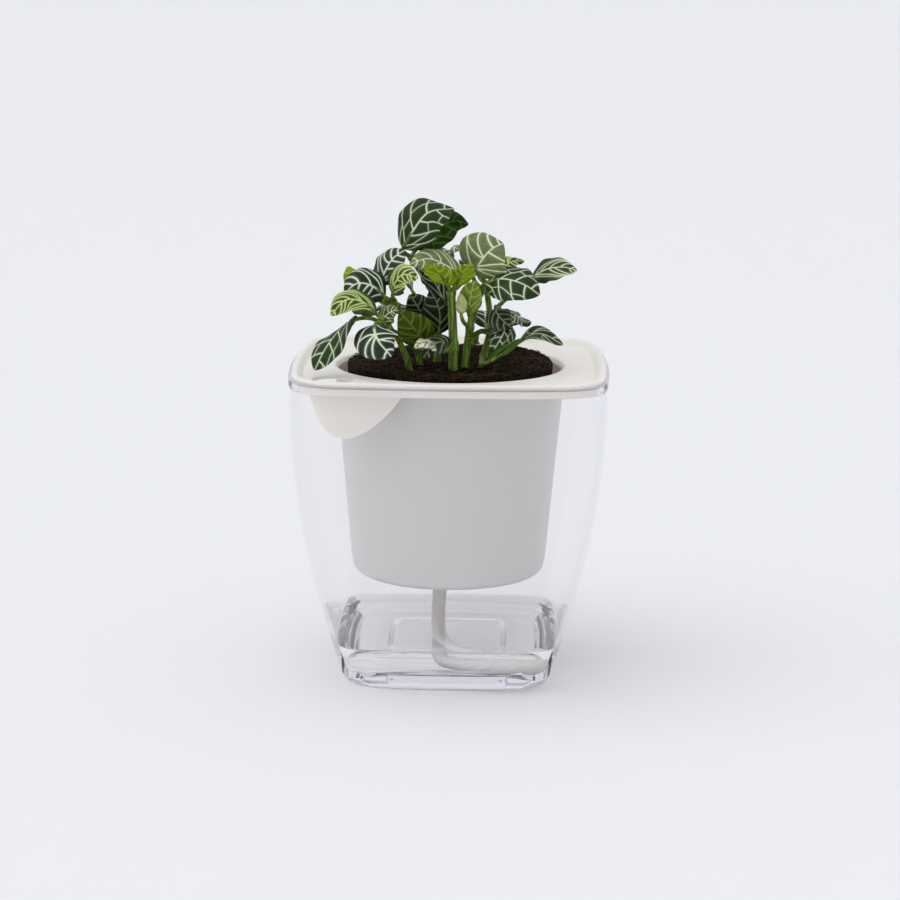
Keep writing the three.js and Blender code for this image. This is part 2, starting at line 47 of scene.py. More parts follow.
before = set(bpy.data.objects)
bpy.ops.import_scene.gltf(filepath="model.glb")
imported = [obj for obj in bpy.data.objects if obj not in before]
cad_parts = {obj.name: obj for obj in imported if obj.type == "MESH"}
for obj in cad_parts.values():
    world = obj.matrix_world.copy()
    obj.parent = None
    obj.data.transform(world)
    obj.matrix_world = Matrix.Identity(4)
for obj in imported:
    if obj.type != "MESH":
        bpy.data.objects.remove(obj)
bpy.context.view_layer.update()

MM = 0.001  # everything is shaped in millimetres and scaled to metres when it is finished


def reach(node):
    """How far a CAD node reaches along +X, in millimetres."""
    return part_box(node)[1].x / MM


def top(node):
    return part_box(node)[1].z / MM


def bottom(node):
    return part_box(node)[0].z / MM


def linear(code):
    """An sRGB hex colour as the linear colour that Blender works in."""
    shares = [int(code[i:i + 2], 16) / 255 for i in (1, 3, 5)]
    return tuple(c / 12.92 if c <= 0.04045 else ((c + 0.055) / 1.055) ** 2.4 for c in shares)


# ---- Settings ---------------------------------------------------------------------------------

RIM_BEAD = 0.5  # the bead around the rim stands out this far from the clear wall
RIM_DEPTH = 3.2  # height of the thick rim
RIM_SHADE_DEPTH = 0.7  # height of the rim's top band that is tinted darker, a painted shade for the dark gap between the lip and the skirt
BASE_REACH = 22  # the thick base ends where z + BASE_SLOPE * distance from the axis is this much
BASE_SLOPE = 0.36


def length(name, description, millimetres):
    return FloatProperty(name=name, description=description, default=millimetres * MM, min=0,
                         unit="LENGTH", precision=4)


def colour(name, description, code):
    return FloatVectorProperty(name=name, description=description, default=linear(code),
                               subtype="COLOR", min=0, max=1)


class PlanterSettings(bpy.types.PropertyGroup):
    """Sizes and colours of the clear reservoir, its water, the white insert and the wick."""

    rim_half: length("Half width", "From the planter's middle to its straight upper wall",
                     reach("reservoir") - RIM_BEAD)
    rim_height: length("Rim height", "Top of the clear rim", top("reservoir"))
    wall: length("Clear wall", "Thickness of the clear wall", 1.9)
    floor_top: length("Floor", "Top of the thick clear floor", 6.5)
    water_level: length("Water level", "Height of the standing water", top("water"))
    lip_half: length("Lip half width", "From the middle to the outside of the tray's lip",
                     reach("insert"))
    lip_top: length("Lip top", "Top of the tray's raised lip", top("insert"))
    plate_top: length("Tray", "Height of the tray's flat plate", 110)
    pot_top: length("Pot radius at the top", "Outer radius of the round pot at its mouth", 40.6)
    pot_base: length("Pot radius at the base", "Outer radius of the round pot at its base", 34)
    pot_bottom: length("Pot bottom", "Height of the pot's underside", bottom("insert"))
    wick_diameter: length("Wick", "Thickness of the wick", 5)
    # The rim edge tint is painted shade: a violet-grey band for the dark gap under the lip.
    edge: colour("Rim edge", "Tint of the clear rim's upper edge", "#b4adbc")
    clear: colour("Clear plastic", "Tint that long ways through the clear plastic take", "#b4a9d6")
    # The pot wall's greyer colour is partly dark soil seen through the thin wall and partly painted shade
    # where the tray overhangs the pot.
    white: colour("White plastic", "Colour of the moulded insert", "#ece7e1")
    white_soil_and_painted_shade: colour("White over soil", "The thin white wall where dark soil shows through",
                            "#d2cfcf")
    cotton: colour("Wick colour", "Colour of the wet spun wick", "#e6e0e0")


class SoilSettings(bpy.types.PropertyGroup):
    """The plug of coir and peat."""

    top_radius: length("Radius at the top", "Radius of the plug under its upper edge",
                       reach("soil"))
    base_radius: length("Radius at the base", "Radius of the plug at its base", 32.1)
    fibres: IntProperty(name="Fibres", description="Coir fibres that lie on the plug", default=800,
                        min=0)
    crumbs: IntProperty(name="Crumbs", description="Crumbs of peat on the plug", default=900, min=0)
    peat: colour("Peat", "Colour of the moist peat", "#040201")
    coir: colour("Coir", "Colour of the coir fibres", "#614b38")


class PlantSettings(bpy.types.PropertyGroup):
    """What all leaves and stems share."""

    blade: length("Blade", "Thickness of a leaf blade along its middle", 0.5)
    wave: length("Wave", "Height of the waves along a leaf's edge", 0.35)
    quilt: length("Quilting", "How far the blade bulges up between its veins", 0.28)
    grid: length("Grid", "Spacing of the points of a leaf's mesh", 0.22)
    stem: colour("Stem", "Colour of stems and petioles", "#647f24")


class StageSettings(bpy.types.PropertyGroup):
    """Backdrop and light."""

    paper: colour("Backdrop", "Colour of the plain backdrop", "#f0f1f3")
    sky: FloatProperty(name="Room light", description="Strength of the even light from all sides",
                       default=0.78, min=0)
    sun: FloatProperty(name="Main light", description="Strength of the wide soft light from above",
                       default=0.68, min=0)


SETTINGS = {
    "nerve_planter": PlanterSettings,
    "nerve_soil": SoilSettings,
    "nerve_leaves": PlantSettings,
    "nerve_stage": StageSettings,
}


# ---- Meshes -----------------------------------------------------------------------------------

def new_object(name, bm):
    mesh = bpy.data.meshes.new(name)
    bm.to_mesh(mesh)
    bm.free()
    made = bpy.data.objects.new(name, mesh)
    bpy.context.scene.collection.objects.link(made)
    return made


def apply_modifiers(obj, *rows):
    """Puts modifiers on an object, each a kind and its settings, and keeps the mesh they give."""
    for kind, settings in rows:
        modifier = obj.modifiers.new(kind.title(), kind)
        for name, value in settings.items():
            setattr(modifier, name, value)
    shown = obj.evaluated_get(bpy.context.evaluated_depsgraph_get())
    mesh = bpy.data.meshes.new_from_object(shown)
    obj.modifiers.clear()
    obj.data = mesh


def smooth_flats(obj, sharp):
    """Shades a moulding smoothly round its edges and keeps its flat faces flat."""
    obj.data.shade_smooth()
    obj.data.set_sharp_from_angle(angle=math.radians(sharp))
    apply_modifiers(obj, ("WEIGHTED_NORMAL", {"weight": 90, "keep_sharp": True}))


def finish_piece(obj, node, slot, *materials, sharp=None):
    """Takes a piece from millimetres to metres and lets it stand for its CAD node."""
    obj.data.transform(Matrix.Scale(MM, 4))
    for material in materials:
        obj.data.materials.append(material)
    if sharp:
        obj.data.shade_smooth()
        obj.data.set_sharp_from_angle(angle=math.radians(sharp))
    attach(obj, "root")
    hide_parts(node)
    return obj


def spline(points, count):
    """Evenly spaced points on a smooth centripetal curve through the given ones."""
    given = np.array(points, float)
    first, last = 2 * given[0] - given[1], 2 * given[-1] - given[-2]
    knots = np.vstack([first, given, last])
    curve = []
    for a, b, c, d in zip(knots, knots[1:], knots[2:], knots[3:]):
        before, along, after = (np.linalg.norm(q - p) ** 0.5 for p, q in ((a, b), (b, c), (c, d)))
        start = ((b - a) / before - (c - a) / (before + along) + (c - b) / along) * along
        end = ((c - b) / along - (d - b) / (along + after) + (d - c) / after) * along
        for u in np.linspace(0, 1, 24, endpoint=False):
            curve.append(b + start * u + (3 * (c - b) - 2 * start - end) * u ** 2
                         + (2 * (b - c) + start + end) * u ** 3)
    curve = np.array([*curve, given[-1]])
    run = np.concatenate([[0], np.cumsum(np.linalg.norm(np.diff(curve, axis=0), axis=1))])
    even = np.linspace(0, run[-1], count + 1)
    return np.stack([np.interp(even, run, curve[:, k]) for k in range(curve.shape[1])], -1)


def span(points):
    """The length of a line of points."""
    return float(np.linalg.norm(np.diff(points, axis=0), axis=1).sum())


def add_tube(bm, line, radius, sides, material=0):
    """Adds a closed tube along a line of points. radius(share, angle) gives its size on the way."""
    steps = len(line) - 1
    made = bmesh.ops.create_grid(bm, x_segments=sides, y_segments=steps, size=1)["verts"]
    ahead = Vector(line[1]) - Vector(line[0])
    side = ahead.orthogonal().normalized()
    frames = []
    for i, here in enumerate(line):
        ahead = Vector(line[min(i + 1, steps)]) - Vector(line[max(i - 1, 0)])
        side = (side - side.project(ahead)).normalized()
        frames.append((Vector(here), side, ahead.normalized().cross(side)))
    for vert in made:
        angle = math.pi * (vert.co.x + 1)
        share = (vert.co.y + 1) / 2
        centre, across, over = frames[round(share * steps)]
        size = radius(share, angle)
        vert.co = centre + across * (size * math.cos(angle)) + over * (size * math.sin(angle))
    faces = {face for vert in made for face in vert.link_faces}
    bmesh.ops.remove_doubles(bm, verts=made, dist=1e-5)
    faces = [face for face in faces if face.is_valid]
    open_edges = [edge for face in faces for edge in face.edges if edge.is_boundary]
    caps = bmesh.ops.holes_fill(bm, edges=list(set(open_edges)), sides=0)["faces"]
    bmesh.ops.recalc_face_normals(bm, faces=faces + caps)
    for face in faces + caps:
        face.material_index = material
    return [vert for vert in made if vert.is_valid]


# ---- The planter's plan -----------------------------------------------------------------------

AROUND = 144  # steps around the planter
CORNER_CROWDING = 0.1375  # moves the steps towards the corners
BOW = 420  # radius of the gently bowed sides

Ring = namedtuple("Ring", "half z corner", defaults=(0,))  # without a corner, a ring is round


def square_reach(angle, half, corner):
    """The reach from the axis, at an angle, of a square with bowed sides and round corners."""
    quarter = math.pi / 2
    off = min(angle % quarter, quarter - angle % quarter)
    bend = math.pi / 4 - math.asin((BOW - half) / (math.sqrt(2) * (BOW - corner)))
    start = math.atan2(BOW * math.sin(bend), half - BOW + BOW * math.cos(bend))
    if off < start:
        middle = half - BOW
        return middle * math.cos(off) + math.sqrt(BOW ** 2 - (middle * math.sin(off)) ** 2)
    middle = (BOW - corner) * math.sin(bend)
    away = middle * (math.cos(off) - math.sin(off))
    return middle * (math.cos(off) + math.sin(off)) + math.sqrt(corner ** 2 - away ** 2)


def turned(profile):
    """A bmesh turned from rings, which are then drawn out to their own plan outline."""
    bm = bmesh.new()
    number = bm.verts.layers.int.new("ring")
    line = []
    for i, ring in enumerate(profile):
        vert = bm.verts.new((ring.half, 0, ring.z))
        vert[number] = i
        line.append(vert)
    edges = [bm.edges.new(pair) for pair in zip(line, line[1:])]
    bmesh.ops.spin(bm, geom=line + edges, cent=(0, 0, 0), axis=(0, 0, 1), dvec=(0, 0, 0),
                   angle=2 * math.pi, steps=AROUND, use_merge=True, use_duplicate=False)
    bmesh.ops.remove_doubles(bm, verts=bm.verts, dist=1e-4)
    for vert in bm.verts:
        ring = profile[vert[number]]
        if ring.half > 0:
            even = math.atan2(vert.co.y, vert.co.x)
            angle = even + CORNER_CROWDING * math.sin(4 * even)
            away = square_reach(angle, ring.half, ring.corner) if ring.corner else ring.half
            vert.co = (away * math.cos(angle), away * math.sin(angle), ring.z)
    bmesh.ops.recalc_face_normals(bm, faces=bm.faces)
    return bm


def quarter(steps, first=0):
    """The angles of a quarter turn, in even steps."""
    return [step / steps * math.pi / 2 for step in range(first, steps + 1)]


def rounded_edges(width):
    """Bevel settings that round every edge of a turned body, and leave its smooth sides alone."""
    return "BEVEL", {"width": width, "segments": 3, "limit_method": "ANGLE",
                     "angle_limit": math.radians(24), "profile": 0.5, "material": -1}


# ---- Reservoir and water ----------------------------------------------------------------------

TAPER = 20.1  # how far the clear wall has come in by the base
TAPER_START = 100  # height where the wall begins to come in
TAPER_POWER = 1.85
BASE_FILLET = 7
BASE_CORNER = 12  # the flat base's corner radius
RECESS_HALF = 20.8  # the square recess moulded into the underside
RECESS_DEPTH = 2.5
RECESS_FILLET = 1.8
RIM_CORNER = 18  # the corner radius that the clear wall has grown to at the rim
CORNER_GROWTH = 8.7
FOOT_REACH, FOOT_RISE = 2.6, 2.2  # the curve between the wall's inside and the floor
WATER_LAP = 0.05
WATER_CREEP = 0.5  # how far the water creeps up the wall


def wall_half(size, z):
    return size.rim_half / MM - TAPER * max(0, 1 - z / TAPER_START) ** TAPER_POWER


def wall_corner(size, z):
    return RIM_CORNER - CORNER_GROWTH + CORNER_GROWTH * z / (size.rim_height / MM)


def foot_curve(half, floor):
    """The inside of the clear body from its floor up to the foot of its wall."""
    return [Ring(half - FOOT_REACH * (1 - math.sin(turn)), floor + FOOT_RISE * (1 - math.cos(turn)),
                 5 + 4 * turn / math.pi) for turn in quarter(4)]


def reservoir_profile(size):
    half, rim, wall = size.rim_half / MM, size.rim_height / MM, size.wall / MM
    flat = wall_half(size, BASE_FILLET) - BASE_FILLET
    profile = [Ring(0, RECESS_DEPTH)]
    for turn in quarter(6):
        profile.append(Ring(RECESS_HALF - RECESS_FILLET * (1 - math.sin(turn)),
                            RECESS_DEPTH - RECESS_FILLET * (1 - math.cos(turn)), 3.4 + 1.6 * turn))
    profile += [Ring(RECESS_HALF, 0, 6), Ring(flat, 0, BASE_CORNER)]
    for turn in quarter(8, first=1):
        out = BASE_FILLET * math.sin(turn)
        profile.append(Ring(flat + out, BASE_FILLET * (1 - math.cos(turn)),
                            BASE_CORNER - 2.2 * out / BASE_FILLET))
    levels = [9, 11, 13, size.water_level / MM, *np.linspace(18, 100, 22)]
    profile += [Ring(wall_half(size, z), z, wall_corner(size, z)) for z in levels]
    outer = RIM_CORNER + RIM_BEAD
    profile += [Ring(half, rim - RIM_DEPTH, RIM_CORNER), Ring(half + RIM_BEAD, rim - 2.4, outer),
                Ring(half + RIM_BEAD, rim, outer), Ring(half - wall, rim, RIM_CORNER - wall)]
    inside = [Ring(wall_half(size, z) - wall, z, wall_corner(size, z) - wall) for z in levels]
    profile += inside[::-1]
    floor = size.floor_top / MM
    return [*profile, *foot_curve(wall_half(size, 9) - wall, floor)[-2::-1], Ring(0, floor)]


def make_reservoir(size):
    planter = new_object("clear_reservoir", turned(reservoir_profile(size)))
    apply_modifiers(planter, rounded_edges(0.3))
    smooth_flats(planter, 50)
    finish_piece(planter, "reservoir", "clear_plastic", clear_polystyrene(size))


def make_water(size):
    """The water laps into the clear plastic by a hair, so that no air shows between them."""
    wall, level = size.wall / MM, size.water_level / MM
    floor = size.floor_top / MM - WATER_LAP

    def beside(z, away=0.0):
        return Ring(wall_half(size, z) - wall + WATER_LAP - away, z, wall_corner(size, z) - wall)

    profile = [Ring(0, floor), *foot_curve(wall_half(size, 9) - wall + WATER_LAP, floor)]
    profile += [beside(z) for z in (11, 12.5, 14)]
    profile += [beside(level + WATER_CREEP), beside(level + WATER_CREEP * 0.5, 0.3),
                beside(level + 0.15, 0.8), beside(level, 1.8), Ring(0, level)]
    water = new_object("standing_water", turned(profile))
    smooth_flats(water, 50)
    finish_piece(water, "water", "water", still_water())


# ---- Wick -------------------------------------------------------------------------------------

WICK_PATH = (
    (-2.5, 2, 56), (-2.5, 2, 46), (-2.5, 2, 36), (-3, 2.4, 28), (-3.4, 2.6, 21),
    (-3.4, -1, 15), (-2.6, -8.5, 11.6), (-1, -17, 10), (2.4, -25.3, 10.1), (7.6, -30.6, 10.1),
    (13.2, -32.9, 9.9), (19, -33.2, 9.8), (25.5, -32.6, 10.2), (29.8, -30.8, 10), (33, -27.2, 9.8),
)
WICK_EXIT = (-2.5, 2, 36)  # where it leaves the pot's bottom
STRANDS = 5
TWIST_PITCH = 26  # millimetres in which the strands go round once


def make_wick(size):
    line = spline(WICK_PATH, 260)
    long = span(line)
    radius = size.wick_diameter / MM / 2

    def twisted(share, angle):
        groove = abs(math.sin(STRANDS / 2 * (angle + 2 * math.pi * share * long / TWIST_PITCH)))
        frayed = 1 - 0.25 * max(0, share - 0.985) / 0.015
        return radius * (0.9 + 0.1 * groove ** 0.6) * frayed

    bm = bmesh.new()
    add_tube(bm, line, twisted, 40)
    wick = finish_piece(new_object("wick_cord", bm), "wick", "wick", spun_cotton(size.cotton),
                        sharp=70)


# ---- Insert: round pot, square tray, filling chute --------------------------------------------

PLATE_THICKNESS = 1.2
SKIRT_INSET = 1.6  # the skirt hangs inside the clear rim, under the lip
SKIRT_BOTTOM = 107.6
POT_WALL = 1.4
POT_FILLET = 3
SEAT_GAP = 0.3  # the lip rests this far over the clear rim
FILL_HOLE = Vector((-38.5, -35.5))
FILL_RADIUS = 7.5
WICK_HOLE_RADIUS = 3

# The lower edge of the chute, seen from the front.
CHUTE_EDGE = (
    (-48, 109), (-46.8, 105.6), (-44.2, 99.2), (-41.8, 95.2), (-39, 92.7), (-35, 91.5),
    (-31, 92.1), (-27, 94), (-22, 97.8), (-18, 102), (-15.2, 105.8), (-13, 109),
)
CHUTE_LEFT, CHUTE_FRONT, CHUTE_CORNER, CHUTE_WALL = -47.2, -45.4, 11, 1.3


def insert_profile(size):
    plate, bottom_z = size.plate_top / MM, size.pot_bottom / MM
    under, floor = plate - PLATE_THICKNESS, bottom_z + POT_WALL
    lip, lip_top, skirt = size.lip_half / MM, size.lip_top / MM, size.lip_half / MM - SKIRT_INSET
    base, mouth = size.pot_base / MM, size.pot_top / MM
    seat = size.rim_height / MM + SEAT_GAP

    def outside(z):
        return base + (mouth - base) * (z - bottom_z) / (plate - bottom_z)

    profile = [Ring(0, bottom_z), Ring(base - POT_FILLET, bottom_z)]
    for turn in quarter(5, first=1):
        profile.append(Ring(base - POT_FILLET + POT_FILLET * math.sin(turn),
                            bottom_z + POT_FILLET * (1 - math.cos(turn))))
    profile += [Ring(outside(z), z) for z in np.linspace(bottom_z + 6, under - 2.5, 14)]
    profile += [
        Ring(mouth + 0.1, under - 0.8), Ring(mouth + 0.9, under),
        Ring(skirt - 1.4, under, 15.2), Ring(skirt - 1.2, SKIRT_BOTTOM, 15.2),
        Ring(skirt, SKIRT_BOTTOM, 16), Ring(skirt, seat, 16), Ring(lip, seat, 17.4),
        Ring(lip, lip_top, 17.4), Ring(lip - 1.6, lip_top, 16.2), Ring(lip - 2.6, lip_top - 0.5, 15.5),
        Ring(lip - 3.6, plate + 0.2, 14.7), Ring(lip - 4.6, plate, 14),
        Ring(mouth + 0.4, plate), Ring(mouth - 0.5, plate - 0.25),
        Ring(outside(plate - 1.6) - POT_WALL + 0.1, plate - 1.6),
    ]
    levels = np.linspace(plate - 6, floor + 4, 12)
    profile += [Ring(outside(z) - POT_WALL, z) for z in levels]
    return [*profile, Ring(outside(floor) - POT_WALL - 0.4, floor + 0.8),
            Ring(outside(floor) - POT_WALL - 2, floor), Ring(0, floor)]


def cutter(x, y, radius, low, high):
    """A round cutting body for a hole."""
    bm = bmesh.new()
    bmesh.ops.create_cone(bm, cap_ends=True, segments=64, radius1=radius, radius2=radius,
                          depth=high - low, matrix=Matrix.Translation((x, y, (low + high) / 2)))
    return new_object("cutter", bm)


def chute_plan():
    """The chute's outside, seen from above, from the left side round to the front."""
    middle = Vector((CHUTE_LEFT + CHUTE_CORNER, CHUTE_FRONT + CHUTE_CORNER))
    points = [(CHUTE_LEFT, y) for y in np.linspace(-18, middle.y, 14, endpoint=False)]
    for turn in np.linspace(math.pi, 1.5 * math.pi, 20, endpoint=False):
        points.append((middle.x + CHUTE_CORNER * math.cos(turn),
                       middle.y + CHUTE_CORNER * math.sin(turn)))
    return points + [(x, CHUTE_FRONT) for x in np.linspace(middle.x, -13.2, 26)]


def add_chute(size):
    """The chute hangs from the tray's underside and guides the poured water into the corner."""
    plan = chute_plan()
    hung = size.plate_top / MM - PLATE_THICKNESS / 2
    edge = spline(CHUTE_EDGE, 80)
    rows = 16
    bm = bmesh.new()
    made = bmesh.ops.create_grid(bm, x_segments=len(plan) - 1, y_segments=rows, size=1)["verts"]
    for vert in made:
        x, y = plan[round((vert.co.x + 1) / 2 * (len(plan) - 1))]
        low = min(np.interp(x, edge[:, 0], edge[:, 1]), hung - 0.5)
        vert.co = (x, y, low + (hung - low) * (vert.co.y + 1) / 2)
    bmesh.ops.recalc_face_normals(bm, faces=bm.faces)
    chute = new_object("chute", bm)
    front = min(chute.data.polygons, key=lambda face: face.center.y)
    away = 1 if front.normal.y > 0 else -1  # the wall's thickness goes inwards
    apply_modifiers(chute, ("SOLIDIFY", {"thickness": CHUTE_WALL, "offset": away}),
                    ("BEVEL", {"width": 0.35, "segments": 2, "limit_method": "ANGLE",
                               "angle_limit": math.radians(50), "profile": 0.5, "material": -1}))
    return chute


def make_insert(size):
    plate = size.plate_top / MM
    insert = new_object("white_insert", turned(insert_profile(size)))
    apply_modifiers(insert, rounded_edges(0.25))
    holes = [cutter(*FILL_HOLE, FILL_RADIUS, plate - 3, plate + 3),
             cutter(*WICK_EXIT[:2], WICK_HOLE_RADIUS, WICK_EXIT[2] - 1, WICK_EXIT[2] + 3)]
    chute = add_chute(size)
    apply_modifiers(insert, *[("BOOLEAN", {"object": hole, "operation": "DIFFERENCE"})
                              for hole in holes],
                    ("BOOLEAN", {"object": chute, "operation": "UNION"}))
    for used in (*holes, chute):
        bpy.data.objects.remove(used)
    smooth_flats(insert, 35)
    # The pot wall below its mouth takes the greyer white: dark soil behind the thin wall, plus painted shade
    # under the overhanging tray.
    for face in insert.data.polygons:
        x, y, z = face.center
        face.material_index = int(math.hypot(x, y) < size.pot_top / MM + 0.6 and z < plate - 6)
    finish_piece(insert, "insert", "white_plastic",
                 moulded_polypropylene("white_polypropylene", size.white, 0.8),
                 moulded_polypropylene("white_polypropylene_soil_and_painted_shade", size.white_soil_and_painted_shade, 0.1))


# ---- Soil -------------------------------------------------------------------------------------

MOUND = Vector((20, 20))  # the plug stands up a little at the back right
MOUND_HEIGHT = 1.6
PAINTED_SHADE_MIDDLE = (2, -14, 111)  # the soil is darkened round the stems, a painted shade under the leaves
SOIL_TOP = 111.2


def soil_height(x, y):
    """How far the plug's top stands over its mean level."""
    crumb = 0.35 * math.sin(0.5 * x + 1) * math.cos(0.43 * y)
    mound = MOUND_HEIGHT * math.exp(-((x - MOUND.x) ** 2 + (y - MOUND.y) ** 2) / 150)
    clods = 0.55 * noise.fractal(Vector((x, y, 0)) * 0.22, 0.7, 2.1, 5)
    return crumb + mound + clods


def make_soil(size):
    draw = random.Random(11)
    high, low = size.top_radius / MM, size.base_radius / MM
    foot = bottom("soil")
    profile = [Ring(0, foot), Ring(low - 1.6, foot), Ring(low, foot + 2)]
    profile += [Ring(low + (high - low) * share, foot + 2 + (SOIL_TOP - 3 - foot) * share)
                for share in np.linspace(0.05, 1, 40)]
    profile += [Ring(high - 0.5, SOIL_TOP - 0.3), Ring(high - 1.2, SOIL_TOP)]
    profile += [Ring(away, SOIL_TOP) for away in np.linspace(high - 1.9, 0, 56)]
    bm = turned(profile)
    for vert in bm.verts:
        x, y, z = vert.co
        rough = noise.fractal(vert.co * 0.5, 0.8, 2.1, 4)
        if z > SOIL_TOP - 0.4:
            vert.co.z += soil_height(x, y) + 0.22 * rough
        else:
            vert.co += Vector((x, y, 0)).normalized() * (0.15 * rough - 0.1)
    soil = new_object("coir_soil", bm)
    add_mesh(soil, crumbs_mesh(size, draw, high))
    add_mesh(soil, fibres_mesh(size, draw, high), material=1)
    finish_piece(soil, "soil", "soil", coir_and_peat(size.peat, size.coir), coir_fibre(size.coir),
                 sharp=80)


def add_mesh(obj, mesh, material=0):
    """Adds a mesh's bodies to an object's own."""
    bm = bmesh.new()
    bm.from_mesh(obj.data)
    own = len(bm.faces)
    bm.from_mesh(mesh)
    bm.faces.ensure_lookup_table()
    for face in bm.faces[own:]:
        face.material_index = material
    bm.to_mesh(obj.data)
    bm.free()
    bpy.data.meshes.remove(mesh)


def crumbs_mesh(size, draw, high):
    """Crumbs of peat, pressed flat, that lie all over the plug's top."""
    bm = bmesh.new()
    for _ in range(size.crumbs):
        away, turn = (high - 1) * math.sqrt(draw.random()), draw.uniform(0, 2 * math.pi)
        x, y = away * math.cos(turn), away * math.sin(turn)
        place = Matrix.Translation((x, y, SOIL_TOP + soil_height(x, y)))
        place @= Matrix.Rotation(draw.uniform(0, math.pi), 4, Vector([draw.gauss(0, 1) for _ in "xyz"]))
        place @= Matrix.Diagonal((1, draw.uniform(0.5, 1), draw.uniform(0.35, 0.7), 1))
        bmesh.ops.create_icosphere(bm, subdivisions=1, radius=draw.uniform(0.2, 0.6), matrix=place)
    mesh = bpy.data.meshes.new("crumbs")
    bm.to_mesh(mesh)
    bm.free()
    return mesh


def fibre_line(draw, high):
    """One curved coir fibre, which lies on the plug's top."""
    away, turn = (high - 0.6) * draw.random() ** 0.5, draw.uniform(0, 2 * math.pi)
    heading, bend, step = draw.uniform(0, 2 * math.pi), draw.uniform(-0.5, 0.5), draw.uniform(0.5, 1.3)
    x, y = away * math.cos(turn), away * math.sin(turn)
    line = []
    for _ in range(5):
        inwards = min(1, (high - 0.4) / math.hypot(x, y))
        x, y = x * inwards, y * inwards
        line.append((x, y, SOIL_TOP + soil_height(x, y) + draw.uniform(0, 0.3)))
        x, y = x + step * math.cos(heading), y + step * math.sin(heading)
        heading += bend
    return line


def fibres_mesh(size, draw, high):
    """All fibres, as closed three-sided tubes."""
    curve = bpy.data.curves.new("fibres", "CURVE")
    curve.dimensions = "3D"
    curve.bevel_depth = 0.12
    curve.bevel_resolution = 0
    curve.use_fill_caps = True
    for _ in range(size.fibres):
        line = fibre_line(draw, high)
        strand = curve.splines.new("POLY")
        strand.points.add(len(line) - 1)
        thick = draw.uniform(0.5, 1.2)
        for i, (point, place) in enumerate(zip(strand.points, line)):
            point.co = (*place, 1)
            point.radius = thick * (1 - 0.15 * i)
    strands = bpy.data.objects.new("fibres", curve)
    bpy.context.scene.collection.objects.link(strands)
    shown = strands.evaluated_get(bpy.context.evaluated_depsgraph_get())
    mesh = bpy.data.meshes.new_from_object(shown)
    bpy.data.objects.remove(strands)
    bm = bmesh.new()
    bm.from_mesh(mesh)
    bmesh.ops.remove_doubles(bm, verts=bm.verts, dist=1e-4)
    bmesh.ops.recalc_face_normals(bm, faces=bm.faces)
    bm.to_mesh(mesh)
    bm.free()
    return mesh


# ---- The plant's table ------------------------------------------------------------------------

# How a leaf looks. Colours are those of the blade and its veins above and below. pairs: side veins
# on each side. cells: cells of the net from the midrib to the edge. lean: how far forward the side
# veins run. bold: the width of the veins.
Look = namedtuple("Look", "upper vein under under_vein pairs cells lean bold")

LOOKS = {
    "dark": Look("#1d350c", "#dfebc4", "#2f6410", "#86a24e", 4, 2, 0.42, 0.78),
    "grey": Look("#748552", "#e9f3cf", "#72882a", "#c2ca70", 5, 1, 0.50, 0.80),
    "blue": Look("#1a3020", "#e4eed2", "#4a7008", "#b6c85a", 5, 1, 0.50, 1.05),
    "lime": Look("#2f4a2a", "#dfe8c4", "#92b800", "#d2de5c", 5, 1, 0.50, 0.85),
    "pale": Look("#304a1c", "#cbdc86", "#7f9030", "#cfd088", 7, 1, 0.66, 1.2),
    "white": Look("#e2e2c8", "#3c5a2e", "#c8cca0", "#e0e0c0", 4, 1, 0.45, 1.2),
    "olive": Look("#273e06", "#d6e0b8", "#425a00", "#86983a", 5, 1, 0.50, 0.7),
    "fine": Look("#26401e", "#e2e6c0", "#6c8026", "#c2ca70", 5, 1, 0.85, 0.9),
    # This look is painted shade: a darker blade with dimmed veins for leaves that sit in shade deep inside
    # the plant.
    "painted_shade_dark": Look("#16240e", "#a3b388", "#25340a", "#505a24", 4, 1, 0.50, 0.7),
    "long": Look("#16240c", "#dfe8d0", "#4a7008", "#b6c85a", 3, 1, 0.85, 0.7),
    "fresh": Look("#6c8a26", "#bccb6a", "#728c24", "#b9c56e", 4, 1, 0.50, 0.7),
    "bud": Look("#a4ac72", "#dcdca8", "#98a458", "#d2d28a", 4, 1, 0.50, 0.7),
}

# A leaf: where its petiole leaves the stem (0 root, 1 top), four points along its midrib, its
# width, its look, the way its upper face looks, how far its left and right halves curl down
# (radians, below 0 for up), and the way its tip's upper face looks.
Leaf = namedtuple("Leaf", "at rib width look face cup tip_face")


def leaf(at, rib, width, look, face, cup=(0.25, 0.25), tip_face=None):
    return Leaf(at, rib, width, look, face, cup, tip_face or face)


